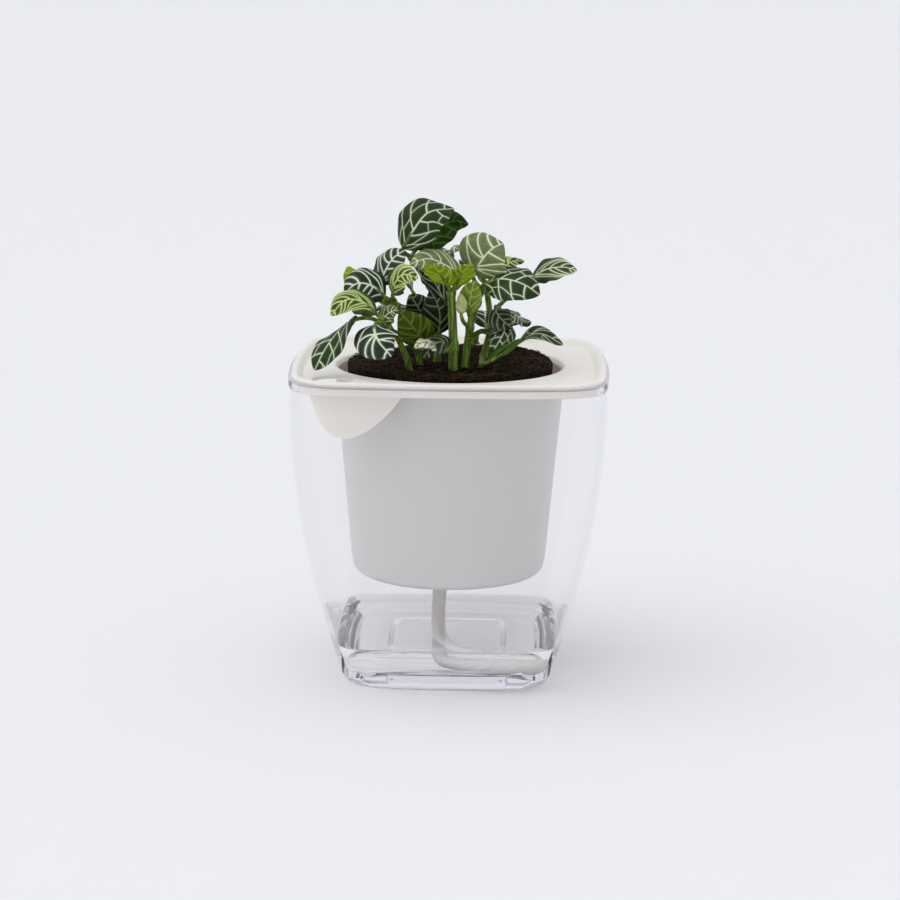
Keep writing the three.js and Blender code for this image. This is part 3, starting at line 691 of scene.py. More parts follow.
# The leafy stems: the radius at the root, the path, and the leaves.
STEMS = {
    "stem_1": (
        1.8,
        ((1.5, -20.5, 102), (1.5, -20.5, 111), (1.2, -20.5, 125), (0.5, -21, 138.5)),
        (
            leaf(0.98, ((3.5, -17, 143.3), (-1.5, -16.8, 146.6), (-7.5, -17.2, 148.8), (-14, -18.6, 147)),
                 11, "grey", (0, -0.75, 0.65), (0.2, 0.3)),
            leaf(0.98, ((-0.5, -22, 140.5), (-2.5, -25, 144), (-5, -28, 147.5), (-7.5, -31, 149)),
                 11.5, "lime", (0.25, 0.6, 0.75), (0.2, 0.2)),
            leaf(0.98, ((1.5, -21.5, 140), (3.5, -24, 144), (5.5, -26.5, 147), (7.5, -28.5, 149)),
                 10, "lime", (-0.2, 0.6, 0.75), (0.2, 0.2)),
            leaf(0.5, ((-3.5, -27, 119), (-6.5, -29.5, 121.5), (-9, -31.5, 122), (-11.5, -33, 120.5)),
                 6, "white", (0.1, -0.5, 0.85), (0.2, 0.2)),
            leaf(0.45, ((-0.5, -23, 118), (-2.5, -26, 121.5), (-5.5, -28, 120.5), (-8.5, -29, 116.5)),
                 9, "painted_shade_dark", (-0.1, -0.7, 0.7), (0.3, 0.3)),
        ),
    ),
    "stem_2": (
        1.5,
        ((5.5, -16.5, 102), (5.5, -17, 111), (7.5, -18.5, 128), (11, -18, 139.5)),
        (
            leaf(0.99, ((8, -17.5, 143.8), (11, -20, 149.2), (14, -20.5, 152.7), (18, -18.5, 154.7)),
                 20, "grey", (0.1, -0.85, 0.5), (0.15, 0.15)),
            leaf(0.97, ((12, -20.5, 141), (17.5, -24, 143), (24.5, -28, 142), (30.5, -29, 138.5)),
                 17.5, "dark", (0.1, -0.6, 0.8), (0.35, 0.35), (0.25, -0.8, 0.55)),
            leaf(0.72, ((7, -20, 130.5), (7, -21, 134.5), (7.5, -21.5, 138.5), (8.5, -20.5, 142)),
                 8.5, "fresh", (-0.2, -1, 0.1), (-0.2, -0.2)),
            leaf(0.62, ((4, -22, 130.5), (4, -22.5, 133), (4, -22.5, 135.5), (3.5, -22.5, 138)),
                 4, "bud", (0, -1, 0.1), (-0.4, -0.4)),
            leaf(0.95, ((14.5, -13, 142), (18, -10, 145), (21, -8, 147), (23.5, -7, 147.5)),
                 9, "pale", (0.3, -0.6, 0.7)),
        ),
    ),
    "stem_3": (
        1.2,
        ((-13.5, -20.5, 102), (-13.5, -21, 111), (-17, -22.5, 121), (-22, -27.5, 129)),
        (
            leaf(0.97, ((-24.8, -30.3, 128.2), (-24.9, -34.1, 126.1), (-23, -37, 122.6), (-19, -38.5, 118.4)),
                 16, "blue", (-0.1, -0.6, 0.8), (0.4, 0.4)),
            leaf(0.98, ((-24.5, -29, 131.5), (-29, -31, 135.5), (-34.5, -33, 136.5), (-39.5, -35, 131.5)),
                 10.5, "pale", (0, -0.7, 0.7), (0.3, 0.3)),
            leaf(0.9, ((-31.5, -24, 129), (-35.5, -28, 127), (-41, -33, 120.5), (-45, -36, 113)),
                 14, "dark", (-0.95, 0, 0.35), (0.25, 0.25), (-0.2, -0.9, 0.4)),
            leaf(0.97, ((-23.5, -27.5, 128.5), (-21.5, -27.5, 130.5), (-19.5, -27.5, 132), (-17, -28, 132.5)),
                 7, "olive", (0.1, -0.8, 0.6), (0.2, 0.2)),
        ),
    ),
    "stem_4": (
        1.2,
        ((-10, -13, 102), (-10, -13, 111), (-14, -16, 125), (-19.5, -18.5, 135)),
        (
            leaf(0.98, ((-22, -20.1, 136), (-26.5, -22.6, 140), (-31.2, -24.4, 141), (-35.7, -25, 137.6)),
                 14, "blue", (-0.1, -0.8, 0.6), (0.3, 0.3)),
            leaf(0.9, ((-26, -16.5, 135.5), (-30.5, -17, 139), (-33.5, -17.5, 142.5), (-35, -17, 146)),
                 11, "lime", (0.4, 0.8, 0.4), (0.2, 0.2)),
            leaf(0.98, ((-19.5, -21, 137), (-18, -24.5, 142), (-15.5, -26.5, 144.5), (-10.5, -27.5, 143.5)),
                 10, "pale", (-0.2, -0.8, 0.55), (0.2, 0.2)),
            leaf(0.45, ((-8.3, -20, 119.5), (-10.8, -24, 124.5), (-13.8, -26.5, 128.5), (-16.8, -27, 132)),
                 12.5, "olive", (-0.2, 0.85, 0.5), (0.15, 0.15)),
            leaf(0.9, ((-24, -16, 139.5), (-22, -15.5, 144.5), (-19.5, -15, 148.5), (-15.5, -14, 151.5)),
                 13, "blue", (-0.5, -0.75, 0.4), (0.2, 0.2)),
        ),
    ),
    "stem_5": (
        1.4,
        ((-4.5, -6, 102), (-4.5, -6, 111), (-5.5, -7, 134), (-14, -8.5, 149)),
        (
            leaf(0.99, ((-16.5, -10, 151.5), (-12.7, -14.3, 158.2), (-8, -13.8, 164), (1, -7.5, 165.2)),
                 16, "dark", (-0.2, -0.95, 0.25), (0.15, 0.35), (0.1, -0.6, 0.8)),
            leaf(0.99, ((-12, -6, 151), (-6, -5, 157), (1, -4.5, 160.8), (6, -6.5, 159.8)),
                 14, "dark", (0.1, 0.75, 0.65), (0.2, 0.2), (0.5, 0.7, 0.5)),
            leaf(0.75, ((-1.5, -13, 133), (-4, -13.5, 138.5), (-7, -14, 143), (-11, -13.5, 147.5)),
                 11, "long", (-0.7, -0.6, 0.3), (0.15, 0.15)),
            leaf(0.5, ((-4, -10.5, 122), (-3.5, -12, 128), (-4.5, -12.5, 133), (-7, -12, 137.5)),
                 11.5, "painted_shade_dark", (0.2, -1, 0.1), (0.2, 0.2)),
            leaf(0.6, ((-9.5, -9.5, 128.5), (-11, -12, 131.5), (-12.5, -13, 134), (-14, -13, 136)),
                 9, "painted_shade_dark", (-0.3, -0.8, 0.5), (0.2, 0.2)),
        ),
    ),
    "stem_6": (
        1.3,
        ((11, -14, 102), (11, -14.5, 111), (13.5, -14, 122), (16.5, -12.5, 132.5)),
        (
            leaf(0.98, ((28, -9, 141.5), (33, -12, 145), (38.5, -13.5, 146), (43.5, -13.5, 145)),
                 10, "fine", (0, -0.75, 0.65)),
            leaf(0.42, ((13, -24, 114.5), (20.5, -25.5, 119.5), (30, -24.5, 124.5), (39, -22, 120.5)),
                 9.5, "dark", (-0.5, 0.75, 0.4), (-0.3, -0.3), (0.3, -0.75, 0.6)),
            leaf(0.85, ((19.5, -17, 127), (18.5, -21, 124), (16.5, -23, 120.5), (14.5, -23.5, 117)),
                 9, "dark", (0, -0.75, 0.65), (0.3, 0.3)),
            leaf(0.7, ((12.5, -18, 124), (10.8, -21.2, 124.5), (8.8, -22.6, 123), (6.8, -23.2, 120)),
                 8, "olive", (0.2, 0.6, 0.8), (0.2, 0.2)),
            leaf(0.98, ((16.5, -15, 132), (16, -18, 131), (18, -20.5, 128.5), (21.5, -22, 126)),
                 9, "painted_shade_dark", (-0.3, -0.5, 0.8), (0.3, 0.3)),
            leaf(0.9, ((19, -10.5, 128.5), (21, -11, 129.5), (23.5, -12, 128.5), (25, -12.5, 125)),
                 8, "lime", (0.3, -0.4, 0.85), (0.3, 0.3), (0.9, -0.2, 0.2)),
        ),
    ),
    "stem_7": (
        1.3,
        ((14, 4, 102), (14, 4, 111), (14, 6, 124), (12, 9, 138)),
        (
            leaf(0.98, ((15, 12, 139), (18, 15, 143.5), (21, 18.5, 145), (23.5, 22, 142.5)),
                 15, "dark", (0.2, 0.4, 0.9), (0.3, 0.3)),
            leaf(0.98, ((9.5, 14, 140), (9, 19, 143.5), (8, 24, 144), (7, 29, 140.5)),
                 13, "blue", (0, 0.4, 0.9), (0.3, 0.3)),
            leaf(0.55, ((17.5, 12, 122), (21, 16.5, 124), (24, 21, 123.5), (26.5, 25.5, 119.5)),
                 13, "dark", (0.3, 0.3, 0.9), (0.3, 0.3)),
            leaf(0.5, ((12.5, 12, 121), (12, 18, 125), (11.5, 24, 125), (11, 30, 120)),
                 13, "blue", (0, 0.45, 0.9), (0.3, 0.3)),
            leaf(0.98, ((10, 7, 142), (8.5, 4, 147), (8.5, 1, 150.5), (10, -3, 151.5)),
                 12, "dark", (0.4, -0.3, 0.85)),
        ),
    ),
    "stem_8": (
        1.3,
        ((-5, 8, 102), (-5, 8, 111), (-4, 10, 125), (-4, 12, 139)),
        (
            leaf(0.6, ((-14, 14, 134), (-17, 16.5, 139.5), (-20.5, 19, 142.5), (-25, 21.5, 142)),
                 14, "dark", (-0.2, 0.3, 0.95)),
            leaf(0.98, ((-4.5, 17, 142), (-5, 21, 146.5), (-6, 26, 147.5), (-7.5, 31, 144)),
                 13, "blue", (0, 0.4, 0.9), (0.3, 0.3)),
            leaf(0.5, ((-11, 10, 124), (-17, 11, 128), (-23, 13, 129), (-28.5, 16, 125)),
                 14, "dark", (-0.1, 0, 1), (0.3, 0.3)),
            leaf(0.5, ((-6, 14, 123), (-7.5, 19, 127.5), (-9, 25, 128), (-10, 31, 123)),
                 14, "dark", (0, 0.5, 0.85), (0.3, 0.3)),
            leaf(0.98, ((-3, 9, 142.5), (-1.5, 6, 147), (0.5, 4, 150), (3.5, 2, 150)),
                 11, "grey", (-0.2, -0.3, 0.9)),
        ),
    ),
}


# ---- Leaves -----------------------------------------------------------------------------------

RIB_SWEEP = 0.1  # the side veins run forward towards the edge


class Blade:
    """The middle surface of a leaf: s runs from base to tip, t from its left edge to its right."""

    def __init__(self, form, wave):
        self.form, self.wave = form, wave
        self.rib = spline(form.rib, 160)
        self.long = span(self.rib)
        ahead = np.gradient(self.rib, axis=0)
        self.ahead = ahead / np.linalg.norm(ahead, axis=1, keepdims=True)

    def along(self, table, a):
        shares = np.linspace(0, 1, len(table))
        return np.stack([np.interp(a, shares, table[:, k]) for k in range(3)], -1)

    def axes(self, a):
        """Across the blade and out of its upper face, at shares of the midrib."""
        ahead = self.along(self.ahead, a)
        base, tip = (np.array(way) / np.linalg.norm(way) for way in (self.form.face, self.form.tip_face))
        across = np.cross(ahead, base + (tip - base) * a[:, None])
        across /= np.linalg.norm(across, axis=1, keepdims=True)
        return across, np.cross(across, ahead)

    def swell(self, a):
        return np.maximum(np.sin(math.pi * a ** 0.85), 0)

    def half(self, a):
        return np.maximum(self.form.width / 2 * self.swell(a) ** 0.7, 0.1)

    def swept(self, s, t):
        return np.minimum(s + RIB_SWEEP * np.abs(t) * np.sin(math.pi * s), 1)

    def point(self, s, t):
        a = self.swept(s, t)
        across, out = self.axes(a)
        half, bend = self.half(a), np.where(t < 0, *self.form.cup)
        side = half * np.sin(bend * t) / bend
        wave = self.wave * np.sin(6 * math.pi * a + 2 * t + self.form.width) * t ** 2 * self.swell(a)
        rise = wave - half * (1 - np.cos(bend * t)) / bend
        return self.along(self.rib, a) + across * side[:, None] + out * rise[:, None]

    def normal(self, s, t):
        step = 0.02
        ahead = self.point(np.minimum(s + step, 0.999), t) - self.point(np.maximum(s - step, 0.001), t)
        right = self.point(s, np.minimum(t + step, 1)) - self.point(s, np.maximum(t - step, -1))
        out = np.cross(right, ahead)
        return out / np.maximum(np.linalg.norm(out, axis=1, keepdims=True), 1e-9)


def net_seeds(look, side, draw):
    """The middles of the cells on one side of the midrib: how far out, how far up, and their row."""
    seeds = []
    for row in range(-1, look.pairs + 1):
        for cell in range(look.cells):
            out = (cell + 0.5) / look.cells * (0.94 if look.cells > 1 else 1)
            up = (row + (0.5 if side > 0 else 0.9)) / look.pairs
            seeds.append((out + draw.uniform(-0.2, 0.2) / look.cells,
                          up + draw.uniform(-0.17, 0.17) / look.pairs, row))
    return np.array(seeds)


def vein_field(blade, look, s, t, draw):
    """How far inside a vein each place of the blade lies, in millimetres, below 0 for outside.

    The cells between the veins are those that lie nearest to their own middle, once the side veins
    are laid level: a side vein that starts at b reaches a = b + k (1 - b), k = lean |t| ** 1.3.
    """
    a = np.minimum(blade.swept(s, t), 0.99)
    half = blade.half(a)
    out = np.abs(t)
    k = look.lean * out ** 1.3
    level = np.stack([out * half, (a - k) / (1 - k) * blade.long], -1)
    rise_y = 1 / (1 - k)
    rise_x = -blade.long * (1 - a) * 1.3 * look.lean * out ** 0.3 / ((1 - k) ** 2 * half)
    bold = look.bold * (blade.form.width / 16) ** 0.7
    field = bold * (0.42 - 0.28 * a) - out * half
    for side in (-1, 1):
        seeds = net_seeds(look, side, draw)
        centres = np.stack([seeds[:, 0] * blade.form.width / 2, seeds[:, 1] * blade.long], -1)
        here = np.flatnonzero(np.where(t < 0, -1, 1) == side)
        squares = ((level[here, None] - centres[None]) ** 2).sum(-1)
        nearest = squares.argmin(axis=1)
        own, own_square = centres[nearest], squares.min(axis=1)
        for other, (centre, (_, _, row)) in enumerate(zip(centres, seeds)):
            gap = centre - own
            width = np.linalg.norm(gap, axis=1)
            apart = np.where(width > 1e-6, (squares[:, other] - own_square) / np.maximum(2 * width, 1e-6), 9)
            nx, ny = (gap / np.maximum(width, 1e-6)[:, None]).T
            steep = np.hypot(nx + ny * rise_x[here], ny * rise_y[here])
            across_row = seeds[nearest, 2] != row
            vein = np.where(across_row, 0.31 - 0.16 * out[here], 0.15) * bold
            field[here] = np.maximum(field[here], vein - apart / np.maximum(steep, 0.3))
    return field


def add_blade(bm, form, size, draw):
    """A leaf blade: two grids, quilted between the veins, that meet along the edge."""
    look = LOOKS[form.look]
    blade = Blade(form, size.wave / MM)
    spacing = size.grid / MM
    columns = max(10, 2 * round(form.width / spacing / 2))
    rows = max(12, round(blade.long / spacing))
    layers = bm.verts.layers
    net, tint, vein = layers.float["net"], layers.float_color["blade"], layers.float_color["vein"]
    both = []
    for upper in (True, False):
        made = bmesh.ops.create_grid(bm, x_segments=columns, y_segments=rows, size=1)["verts"]
        flat = np.array([vert.co[:2] for vert in made])
        t, s = flat[:, 0], (flat[:, 1] + 1) / 2
        if upper:
            field = vein_field(blade, look, s, t, draw)
            place, out = blade.point(s, t), blade.normal(s, t)
            inner = (1 - np.abs(t) ** 6) * np.minimum(1, 6 * np.minimum(s, 1 - s) + 0.02)
            thick = size.blade / MM / 2 * inner * (np.abs(t) < 1) * (s > 0) * (s < 1)
            open_field = np.clip(-field / 1.6, 0, 1)
            quilt = size.quilt / MM * (1 - (1 - open_field) ** 2) * inner
            ridge = 0.16 * np.clip(field / 0.3 + 0.6, 0, 1) * inner
            shade = 1 + draw.uniform(-0.12, 0.12)
        rise = quilt + thick if upper else quilt - thick - ridge
        where = place + out * rise[:, None]
        leaf_colour = linear(look.upper if upper else look.under)
        vein_colour = linear(look.vein if upper else look.under_vein)
        for vert, spot, value in zip(made, where, field):
            vert.co = spot
            vert[net] = value
            vert[tint] = (*(c * shade for c in leaf_colour), 1)
            vert[vein] = (*vein_colour, 1)
        faces = list({face for vert in made for face in vert.link_faces})
        for face in faces:
            face.material_index = 0 if upper else 1
        middle = max(faces, key=lambda face: face.calc_area())
        middle.normal_update()
        heading = out[np.abs(s - 0.5).argmin()]
        if (middle.normal.dot(Vector(heading)) < 0) == upper:
            bmesh.ops.reverse_faces(bm, faces=faces)
        both += made
    bmesh.ops.remove_doubles(bm, verts=both, dist=1e-4)
    return blade


def add_petiole(bm, blade, stem_line, size):
    """A petiole leaves the stem and runs on as the raised midrib under the blade."""
    start_share = np.array([0.0])
    _, out = blade.axes(start_share)
    start = blade.rib[0] - 0.2 * out[0]
    root = stem_line[round(blade.form.at * (len(stem_line) - 1))]
    bend = start - blade.ahead[0] * 0.4 * np.linalg.norm(root - start)
    middle = ((root + start) / 2 + bend) / 2
    shares = np.array([0.12, 0.3, 0.55])
    _, outs = blade.axes(shares)
    under = blade.along(blade.rib, shares) - outs * (size.blade / MM / 2 + np.array([[0], [0.02], [0]]))
    line = spline([root, middle, start, *under], 44)

    def thickness(share, angle):
        return 0.78 - 0.2 * share if share < 0.5 else max(0.68 - 1.05 * (share - 0.5), 0.12)

    add_tube(bm, line, thickness, 12, material=2)


def make_stem(name, size, draw):
    radius, path, leaves = STEMS[name]
    bm = bmesh.new()
    bm.verts.layers.float.new("net")
    bm.verts.layers.float_color.new("blade")
    bm.verts.layers.float_color.new("vein")
    line = spline(path, 60)
    knots = [round(form.at * 60) for form in leaves]

    def thickness(share, angle):
        swollen = max(math.exp(-((share * 60 - knot) / 1.6) ** 2) for knot in knots)
        return radius * (1 - 0.22 * share + 0.22 * swollen)

    add_tube(bm, line, thickness, 18, material=2)
    for form in leaves:
        blade = add_blade(bm, form, size, draw)
        add_petiole(bm, blade, line, size)
    stem = new_object("leafy_" + name, bm)
    finish_piece(stem, name, "leaf", blade_upper(), blade_underside(), green_stem(size.stem),
                 sharp=60)


# ---- Materials --------------------------------------------------------------------------------

def add_node(tree, kind, inputs=None, **settings):
    """Adds a node with its settings, and gives its inputs values, sockets or whole nodes.

    A node that is given as an input feeds it from its first output.
    """
    made = tree.nodes.new(kind)
    for name, value in settings.items():
        setattr(made, name, value)
    for name, value in (inputs or {}).items():
        if isinstance(value, bpy.types.Node):
            value = value.outputs[0]
        if isinstance(value, bpy.types.NodeSocket):
            tree.links.new(value, made.inputs[name])
        else:
            made.inputs[name].default_value = value
    return made


def new_material(name):
    """An empty node material with its output."""
    made = bpy.data.materials.new(name)
    made.use_nodes = True
    made.node_tree.nodes.clear()
    output = add_node(made.node_tree, "ShaderNodeOutputMaterial")
    return made, made.node_tree, output


def rgba(colour_value):
    return (*colour_value[:3], 1)


def object_point(tree):
    return add_node(tree, "ShaderNodeTexCoord").outputs["Object"]


def let_light_through(tree, shader, output, tint):
    """Light on its way to a matt surface passes a clear material straight, with only its tint."""
    path = add_node(tree, "ShaderNodeLightPath")
    lights = add_node(tree, "ShaderNodeMath", {0: path.outputs["Is Shadow Ray"],
                                              1: path.outputs["Is Diffuse Ray"]}, operation="MAXIMUM")
    clear = add_node(tree, "ShaderNodeBsdfTransparent", {"Color": tint})
    mixed = add_node(tree, "ShaderNodeMixShader", {0: lights, 1: shader, 2: clear})
    tree.links.new(mixed.outputs[0], output.inputs["Surface"])


def tint_inside(tree, output, tint):
    tinted = add_node(tree, "ShaderNodeVolumeAbsorption", {"Color": rgba(tint), "Density": 2.4})
    tree.links.new(tinted.outputs[0], output.inputs["Volume"])


THICK_BODY = (0.96, 0.955, 0.975, 1)
STRAIGHT_LIGHT = (0.99, 0.99, 0.99, 1)  # what light keeps that passes a clear wall straight
MIRROR_LEAST, MIRROR_MOST = 0.04, 0.5  # what share a thin wall mirrors, head on and at a glance


def clear_polystyrene(size):
    """Clear moulded polystyrene: the thick base and rim bend light, the thin wall only mirrors."""
    made, tree, output = new_material("clear_polystyrene")
    place = object_point(tree)
    height = add_node(tree, "ShaderNodeSeparateXYZ", {0: place}).outputs["Z"]
    # The rim's top band is tinted violet-grey: painted shade for the dark gap between the lip and the skirt.
    edge = add_node(tree, "ShaderNodeMath", {0: height, 1: size.rim_height - RIM_SHADE_DEPTH * MM},
                    operation="GREATER_THAN")
    body = add_node(tree, "ShaderNodeMix", {0: edge, 6: THICK_BODY, 7: rgba(size.edge)},
                    data_type="RGBA")
    thick = add_node(tree, "ShaderNodeBsdfPrincipled", {
        "Base Color": body.outputs[2], "Roughness": 0.0, "IOR": 1.49, "Transmission Weight": 1.0,
    })
    mirror = add_node(tree, "ShaderNodeBsdfGlossy", {"Color": (1, 1, 1, 1), "Roughness": 0.02})
    clear = add_node(tree, "ShaderNodeBsdfTransparent", {"Color": STRAIGHT_LIGHT})
    facing = add_node(tree, "ShaderNodeLayerWeight", {"Blend": 0.5}).outputs["Facing"]
    grazing = add_node(tree, "ShaderNodeMath", {0: facing, 1: 5.0}, operation="POWER")
    share = add_node(tree, "ShaderNodeMapRange", {"Value": grazing, "To Min": MIRROR_LEAST,
                                                  "To Max": MIRROR_MOST})
    wall = add_node(tree, "ShaderNodeMixShader", {0: share, 1: clear, 2: mirror})
    level = add_node(tree, "ShaderNodeVectorMath", {0: place, 1: (1, 1, 0)}, operation="MULTIPLY")
    away = add_node(tree, "ShaderNodeVectorMath", {0: level}, operation="LENGTH")
    reached = add_node(tree, "ShaderNodeMath", {0: away.outputs["Value"], 1: BASE_SLOPE, 2: height},
                       operation="MULTIPLY_ADD")
    above = add_node(tree, "ShaderNodeMath", {0: reached, 1: BASE_REACH * MM}, operation="GREATER_THAN")
    below = add_node(tree, "ShaderNodeMath", {0: height, 1: size.rim_height - RIM_DEPTH * MM},
                     operation="LESS_THAN")
    thin = add_node(tree, "ShaderNodeMath", {0: above, 1: below}, operation="MULTIPLY")
    shader = add_node(tree, "ShaderNodeMixShader", {0: thin, 1: thick, 2: wall})
    let_light_through(tree, shader, output, STRAIGHT_LIGHT)
    tint_inside(tree, output, size.clear)
    return made


def still_water():
    """Clear tap water at rest."""
    made, tree, output = new_material("still_water")
    shader = add_node(tree, "ShaderNodeBsdfPrincipled", {
        "Base Color": (1, 1, 1, 1), "Roughness": 0.0, "IOR": 1.333, "Transmission Weight": 1.0,
    })
    let_light_through(tree, shader, output, (0.99, 0.99, 0.995, 1))
    return made


def moulded_polypropylene(name, white, clouded):
    """White injection-moulded polypropylene: satin, a little waxy, with a very fine moulded grain."""
    made, tree, output = new_material(name)
    place = object_point(tree)
    grain = add_node(tree, "ShaderNodeTexNoise", {"Vector": place, "Scale": 1 / (0.9 * MM), "Detail": 3})
    drift = add_node(tree, "ShaderNodeTexNoise", {"Vector": place, "Scale": 1 / (40 * MM), "Detail": 2})
    tone = add_node(tree, "ShaderNodeMapRange", {"Value": drift, "To Min": 0.96, "To Max": 1.0})
    base = add_node(tree, "ShaderNodeMix", {0: 1.0, 6: rgba(white), 7: tone},
                    data_type="RGBA", blend_type="MULTIPLY")
    bump = add_node(tree, "ShaderNodeBump", {"Height": grain, "Distance": 0.02 * MM, "Strength": 0.5})
    shader = add_node(tree, "ShaderNodeBsdfPrincipled", {
        "Base Color": base.outputs[2], "Normal": bump, "Roughness": 0.36, "IOR": 1.49,
        "Subsurface Weight": clouded, "Subsurface Radius": (1.0, 0.85, 0.7), "Subsurface Scale": 3 * MM,
    })
    tree.links.new(shader.outputs[0], output.inputs["Surface"])
    return made


def spun_cotton(cotton):
    """Wet spun cotton: soft, with fine yarns that lie across the strands."""
    made, tree, output = new_material("spun_cotton")
    place = object_point(tree)
    yarn = add_node(tree, "ShaderNodeTexNoise", {"Vector": place, "Scale": 1 / (0.8 * MM), "Detail": 5,
                                                 "Roughness": 0.7})
    tone = add_node(tree, "ShaderNodeMapRange", {"Value": yarn, "From Min": 0.3,
                                                 "From Max": 0.7, "To Min": 0.9, "To Max": 1.05})
    base = add_node(tree, "ShaderNodeMix", {0: 1.0, 6: rgba(cotton), 7: tone},
                    data_type="RGBA", blend_type="MULTIPLY")
    bump = add_node(tree, "ShaderNodeBump", {"Height": yarn, "Distance": 0.3 * MM})
    shader = add_node(tree, "ShaderNodeBsdfPrincipled", {
        "Base Color": base.outputs[2], "Normal": bump, "Roughness": 0.9,
        "Sheen Weight": 0.3, "Sheen Roughness": 0.5,
    })
    tree.links.new(shader.outputs[0], output.inputs["Surface"])
    return made


def coir_and_peat(peat, coir):
    """Moist peat and coir: near black in its pores, brown where fibres and crumbs catch the light."""
    made, tree, output = new_material("moist_coir_and_peat")
    place = object_point(tree)
    fine = add_node(tree, "ShaderNodeTexNoise", {"Vector": place, "Scale": 1 / (0.6 * MM), "Detail": 6,
                                                 "Roughness": 0.8})
    share = add_node(tree, "ShaderNodeMapRange", {"Value": fine, "From Min": 0.47, "From Max": 0.7})
    mixed = add_node(tree, "ShaderNodeMix", {0: share, 6: rgba(peat), 7: rgba(coir)}, data_type="RGBA")
    # Painted shade: the soil is darkened by up to three quarters round the stems, where the leaves shade it.
    away = add_node(tree, "ShaderNodeVectorMath", {0: place, 1: Vector(PAINTED_SHADE_MIDDLE) * MM},
                    operation="DISTANCE")
    wet = add_node(tree, "ShaderNodeMapRange", {"Value": away.outputs["Value"], "From Min": 7 * MM,
                                                "From Max": 26 * MM, "To Min": 0.25})
    base = add_node(tree, "ShaderNodeMix", {0: 1.0, 6: mixed.outputs[2], 7: wet},
                    data_type="RGBA", blend_type="MULTIPLY")
    bump = add_node(tree, "ShaderNodeBump", {"Height": fine, "Distance": 0.5 * MM})
    shader = add_node(tree, "ShaderNodeBsdfPrincipled", {
        "Base Color": base.outputs[2], "Normal": bump, "Roughness": 0.9,
        "Specular IOR Level": 0.06,
    })
    tree.links.new(shader.outputs[0], output.inputs["Surface"])
    return made


def coir_fibre(coir):
    """A dry coir fibre, lighter than the wet peat."""
    made, tree, output = new_material("coir_fibre")
    pattern = add_node(tree, "ShaderNodeTexNoise", {"Vector": object_point(tree), "Scale": 1 / (3 * MM),
                                                    "Detail": 3})
    tone = add_node(tree, "ShaderNodeMapRange", {"Value": pattern, "From Min": 0.3,
                                                 "From Max": 0.7, "To Min": 0.15, "To Max": 0.95})
    base = add_node(tree, "ShaderNodeMix", {0: 1.0, 6: rgba(coir), 7: tone},
                    data_type="RGBA", blend_type="MULTIPLY")
    shader = add_node(tree, "ShaderNodeBsdfPrincipled", {
        "Base Color": base.outputs[2], "Roughness": 0.8, "Specular IOR Level": 0.15,
    })
    tree.links.new(shader.outputs[0], output.inputs["Surface"])
    return made


def leaf_colour(tree, halo):
    """The blade's own colour with its net of veins, which have soft pale borders."""
    tint = add_node(tree, "ShaderNodeAttribute", attribute_name="blade").outputs["Color"]
    vein = add_node(tree, "ShaderNodeAttribute", attribute_name="vein").outputs["Color"]
    net = add_node(tree, "ShaderNodeAttribute", attribute_name="net").outputs["Fac"]
    mottle = add_node(tree, "ShaderNodeTexNoise", {"Vector": object_point(tree), "Scale": 1 / (1.1 * MM),
                                                   "Detail": 4, "Roughness": 0.65})
    tone = add_node(tree, "ShaderNodeMapRange", {"Value": mottle, "From Min": 0.3,
                                                 "From Max": 0.7, "To Min": 0.72, "To Max": 1.28})
    green = add_node(tree, "ShaderNodeMix", {0: 1.0, 6: tint, 7: tone},
                     data_type="RGBA", blend_type="MULTIPLY")
    border = add_node(tree, "ShaderNodeMapRange", {"Value": net, "From Min": -0.7, "From Max": 0.05,
                                                   "To Max": halo}, interpolation_type="SMOOTHSTEP")
    soft = add_node(tree, "ShaderNodeMix", {0: border, 6: green.outputs[2], 7: vein}, data_type="RGBA")
    line = add_node(tree, "ShaderNodeMapRange", {"Value": net, "From Min": -0.1, "From Max": 0.08},
                    interpolation_type="SMOOTHSTEP")
    full = add_node(tree, "ShaderNodeMix", {0: line, 6: soft.outputs[2], 7: vein}, data_type="RGBA")
    return full.outputs[2]


def leaf_blade(name, roughness, through, halo):
    """A living leaf: a waxy skin with fine cells over flesh that lets some light through."""
    made, tree, output = new_material(name)
    colour_socket = leaf_colour(tree, halo)
    cells = add_node(tree, "ShaderNodeTexNoise", {"Vector": object_point(tree), "Scale": 1 / (0.35 * MM),
                                                  "Detail": 3})
    bump = add_node(tree, "ShaderNodeBump", {"Height": cells, "Distance": 0.05 * MM, "Strength": 0.8})
    shader = add_node(tree, "ShaderNodeBsdfPrincipled", {
        "Base Color": colour_socket, "Normal": bump, "Roughness": roughness, "IOR": 1.4,
        "Specular IOR Level": 0.35,
    })
    lit = add_node(tree, "ShaderNodeBsdfTranslucent", {"Color": colour_socket})
    mixed = add_node(tree, "ShaderNodeMixShader", {0: through, 1: shader, 2: lit})
    tree.links.new(mixed.outputs[0], output.inputs["Surface"])
    return made


def blade_upper():
    return bpy.data.materials.get("fittonia_blade") or leaf_blade("fittonia_blade", 0.4, 0.12, 0.12)


def blade_underside():
    return (bpy.data.materials.get("fittonia_underside")
            or leaf_blade("fittonia_underside", 0.6, 0.35, 0.3))


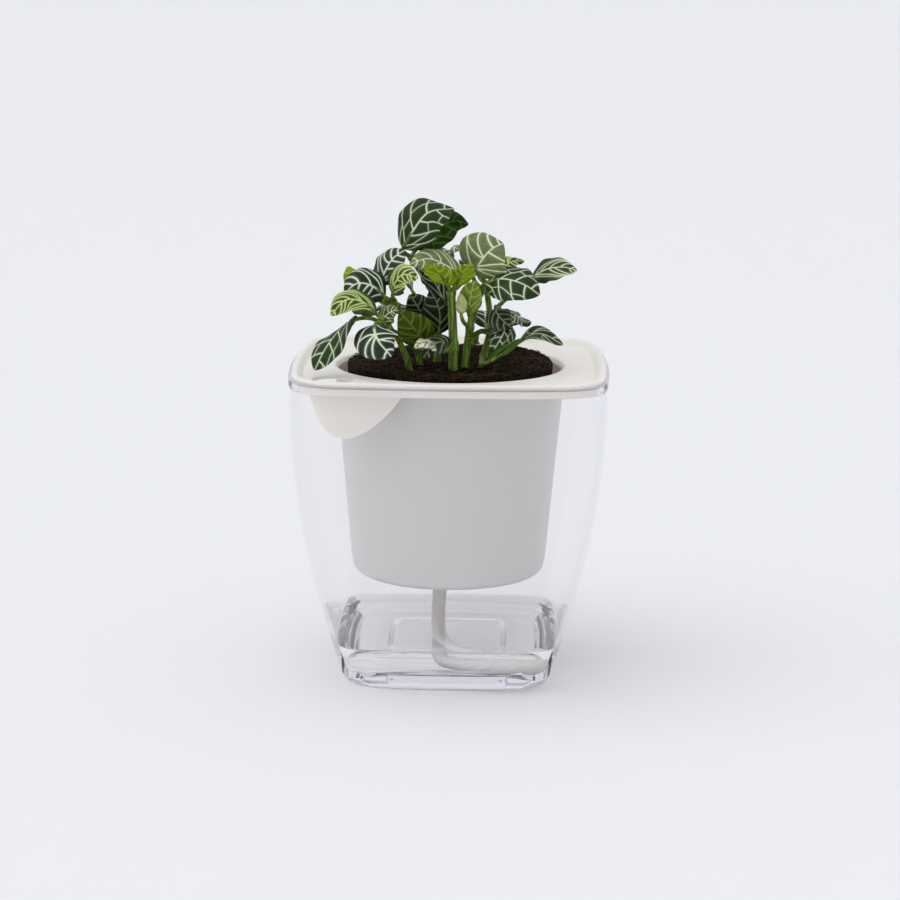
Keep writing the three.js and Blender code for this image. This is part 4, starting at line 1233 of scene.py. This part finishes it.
def green_stem(green):
    """A juicy green stem: smooth and slightly translucent, with long faint streaks."""
    known = bpy.data.materials.get("fittonia_stem")
    if known:
        return known
    made, tree, output = new_material("fittonia_stem")
    place = object_point(tree)
    streaks = add_node(tree, "ShaderNodeMapping", {"Vector": place, "Scale": (1, 1, 0.1)})
    pattern = add_node(tree, "ShaderNodeTexNoise", {"Vector": streaks, "Scale": 1 / (0.7 * MM),
                                                    "Detail": 3})
    tone = add_node(tree, "ShaderNodeMapRange", {"Value": pattern, "From Min": 0.38,
                                                 "From Max": 0.68, "To Min": 0.4, "To Max": 1.7})
    base = add_node(tree, "ShaderNodeMix", {0: 1.0, 6: rgba(green), 7: tone},
                    data_type="RGBA", blend_type="MULTIPLY")
    bump = add_node(tree, "ShaderNodeBump", {"Height": pattern, "Distance": 0.12 * MM})
    shader = add_node(tree, "ShaderNodeBsdfPrincipled", {
        "Base Color": base.outputs[2], "Normal": bump, "Roughness": 0.45, "IOR": 1.4,
        "Subsurface Weight": 0.35, "Subsurface Radius": (0.8, 1.0, 0.3), "Subsurface Scale": 1.2 * MM,
    })
    tree.links.new(shader.outputs[0], output.inputs["Surface"])
    return made


def backdrop_paper(paper):
    """Matt background paper."""
    made, tree, output = new_material("matt_background_paper")
    grain = add_node(tree, "ShaderNodeTexNoise", {"Vector": object_point(tree), "Scale": 60.0, "Detail": 4})
    bump = add_node(tree, "ShaderNodeBump", {"Height": grain, "Distance": 0.05 * MM, "Strength": 0.2})
    shader = add_node(tree, "ShaderNodeBsdfPrincipled", {
        "Base Color": rgba(paper), "Normal": bump, "Roughness": 0.9,
        "Specular IOR Level": 0.1,
    })
    tree.links.new(shader.outputs[0], output.inputs["Surface"])
    return made


# ---- Camera and stage -------------------------------------------------------------------------

IMAGE_SIDE = 900  # pixels
FOCAL_PIXELS = 2362
MIDDLE_PIXEL = 449.3  # the column that the object's axis is seen in
CAMERA_PLACE = (0.0157, -0.8198, 0.2453)
CAMERA_DOWN, CAMERA_TURN, CAMERA_ROLL = (math.radians(a) for a in (11.47, 1.1, 0.53))


def make_camera():
    data = bpy.data.cameras.new("camera")
    data.sensor_width = 36
    data.lens = FOCAL_PIXELS / IMAGE_SIDE * data.sensor_width
    data.shift_x = (IMAGE_SIDE / 2 - MIDDLE_PIXEL) / IMAGE_SIDE
    data.clip_start, data.clip_end = 0.01, 50
    camera = bpy.data.objects.new("camera", data)
    aim = Matrix.Rotation(CAMERA_TURN, 4, "Z")
    aim @= Matrix.Rotation(math.pi / 2 - CAMERA_DOWN, 4, "X") @ Matrix.Rotation(CAMERA_ROLL, 4, "Z")
    camera.matrix_world = Matrix.Translation(CAMERA_PLACE) @ aim
    bpy.context.scene.collection.objects.link(camera)
    bpy.context.scene.camera = camera


FLOOR_LEVEL = -0.0004  # a hair of air under the planter, as under a real one
SKY_TILT = (-0.35, 0.0, 0.75)  # the room light is brightest up to the left
SWEEP_START, SWEEP_BEND, SWEEP_HEIGHT, SWEEP_FRONT = 0.55, 1.2, 4.0, -6.0
LIGHT_FROM = Vector((-0.45, -0.2, 1))  # the main light stands up to the left
LIGHT_WIDTH = math.radians(70)  # how wide it looks from the plant, which softens the shadows


def make_sweep(paper):
    """Pale paper that lies on the floor and bends up behind the object."""
    bm = bmesh.new()
    made = bmesh.ops.create_grid(bm, x_segments=2, y_segments=160, size=1)["verts"]
    arc = SWEEP_BEND * math.pi / 2
    total = SWEEP_START - SWEEP_FRONT + arc + SWEEP_HEIGHT
    for vert in made:
        run = (vert.co.y + 1) / 2 * total - (SWEEP_START - SWEEP_FRONT)
        y, z = SWEEP_START + run, FLOOR_LEVEL
        if run > 0:
            turn = min(run / SWEEP_BEND, math.pi / 2)
            y = SWEEP_START + SWEEP_BEND * math.sin(turn)
            z = FLOOR_LEVEL + SWEEP_BEND * (1 - math.cos(turn)) + max(0, run - arc)
        vert.co = (vert.co.x * 8, y, z)
    sweep = new_object("backdrop", bm)
    sweep.data.materials.append(backdrop_paper(paper))
    sweep.data.shade_smooth()


def make_stage(size):
    """Pale paper, one wide soft light from above and an even room light."""
    make_sweep(size.paper)
    data = bpy.data.lights.new("main_light", "SUN")
    data.energy, data.angle = size.sun, LIGHT_WIDTH
    light = bpy.data.objects.new("main_light", data)
    light.rotation_mode = "QUATERNION"
    light.rotation_quaternion = LIGHT_FROM.to_track_quat("Z", "Y")
    bpy.context.scene.collection.objects.link(light)
    world = bpy.data.worlds.new("studio")
    world.use_nodes = True
    tree = world.node_tree
    ways = add_node(tree, "ShaderNodeTexCoord").outputs["Generated"]
    towards = add_node(tree, "ShaderNodeVectorMath", {0: ways, 1: SKY_TILT}, operation="DOT_PRODUCT")
    strength = add_node(tree, "ShaderNodeMapRange", {
        "Value": towards.outputs["Value"], "From Min": -1.0, "To Min": size.sky * 0.4,
        "To Max": size.sky * 1.3,
    })
    glow = tree.nodes["Background"]
    glow.inputs["Color"].default_value = (0.98, 0.985, 1.0, 1)
    tree.links.new(strength.outputs[0], glow.inputs["Strength"])
    bpy.context.scene.world = world
    bpy.context.scene.view_settings.view_transform = "Standard"


# ---- Operators and panel ----------------------------------------------------------------------

class NERVE_OT_camera(bpy.types.Operator):
    """Add the camera"""

    bl_idname = "nerve_plant.camera"
    bl_label = "Camera"

    def execute(self, context):
        make_camera()
        return {"FINISHED"}


class NERVE_OT_wick(bpy.types.Operator):
    """Add the wick that hangs from the pot into the water"""

    bl_idname = "nerve_plant.wick"
    bl_label = "Wick"

    def execute(self, context):
        make_wick(context.scene.nerve_planter)
        return {"FINISHED"}


class NERVE_OT_reservoir(bpy.types.Operator):
    """Add the clear reservoir"""

    bl_idname = "nerve_plant.reservoir"
    bl_label = "Reservoir"

    def execute(self, context):
        make_reservoir(context.scene.nerve_planter)
        return {"FINISHED"}


class NERVE_OT_water(bpy.types.Operator):
    """Add the standing water"""

    bl_idname = "nerve_plant.water"
    bl_label = "Water"

    def execute(self, context):
        make_water(context.scene.nerve_planter)
        return {"FINISHED"}


class NERVE_OT_insert(bpy.types.Operator):
    """Add the white insert with its pot, tray and chute"""

    bl_idname = "nerve_plant.insert"
    bl_label = "Insert"

    def execute(self, context):
        make_insert(context.scene.nerve_planter)
        return {"FINISHED"}


class NERVE_OT_soil(bpy.types.Operator):
    """Add the plug of coir and peat"""

    bl_idname = "nerve_plant.soil"
    bl_label = "Soil"

    def execute(self, context):
        make_soil(context.scene.nerve_soil)
        return {"FINISHED"}


class NERVE_OT_stems(bpy.types.Operator):
    """Add the leafy stems"""

    bl_idname = "nerve_plant.stems"
    bl_label = "Leafy stems"

    def execute(self, context):
        for i, name in enumerate(STEMS):
            make_stem(name, context.scene.nerve_leaves, random.Random(40 + i))
        return {"FINISHED"}


class NERVE_OT_stage(bpy.types.Operator):
    """Add the backdrop and the lights"""

    bl_idname = "nerve_plant.stage"
    bl_label = "Stage"

    def execute(self, context):
        make_stage(context.scene.nerve_stage)
        return {"FINISHED"}


OPERATORS = (NERVE_OT_camera, NERVE_OT_wick, NERVE_OT_reservoir, NERVE_OT_water, NERVE_OT_insert,
             NERVE_OT_soil, NERVE_OT_stems, NERVE_OT_stage)


class NERVE_PT_panel(bpy.types.Panel):
    """Lists the pieces of the plant and its planter"""

    bl_label = "Potted nerve plant"
    bl_space_type = "VIEW_3D"
    bl_region_type = "UI"
    bl_category = "Nerve plant"

    def draw(self, context):
        for name, group in SETTINGS.items():
            box = self.layout.box()
            for prop in group.__annotations__:
                box.prop(getattr(context.scene, name), prop)
        for operator in OPERATORS:
            self.layout.operator(operator.bl_idname)


CLASSES = (*SETTINGS.values(), *OPERATORS, NERVE_PT_panel)


def register():
    for each in CLASSES:
        bpy.utils.register_class(each)
    for name, group in SETTINGS.items():
        setattr(bpy.types.Scene, name, PointerProperty(type=group))


def unregister():
    for name in SETTINGS:
        delattr(bpy.types.Scene, name)
    for each in reversed(CLASSES):
        bpy.utils.unregister_class(each)


def main():
    register()
    for operator in OPERATORS:
        group, name = operator.bl_idname.split(".")
        getattr(getattr(bpy.ops, group), name)()


if __name__ == "__main__":
    main()
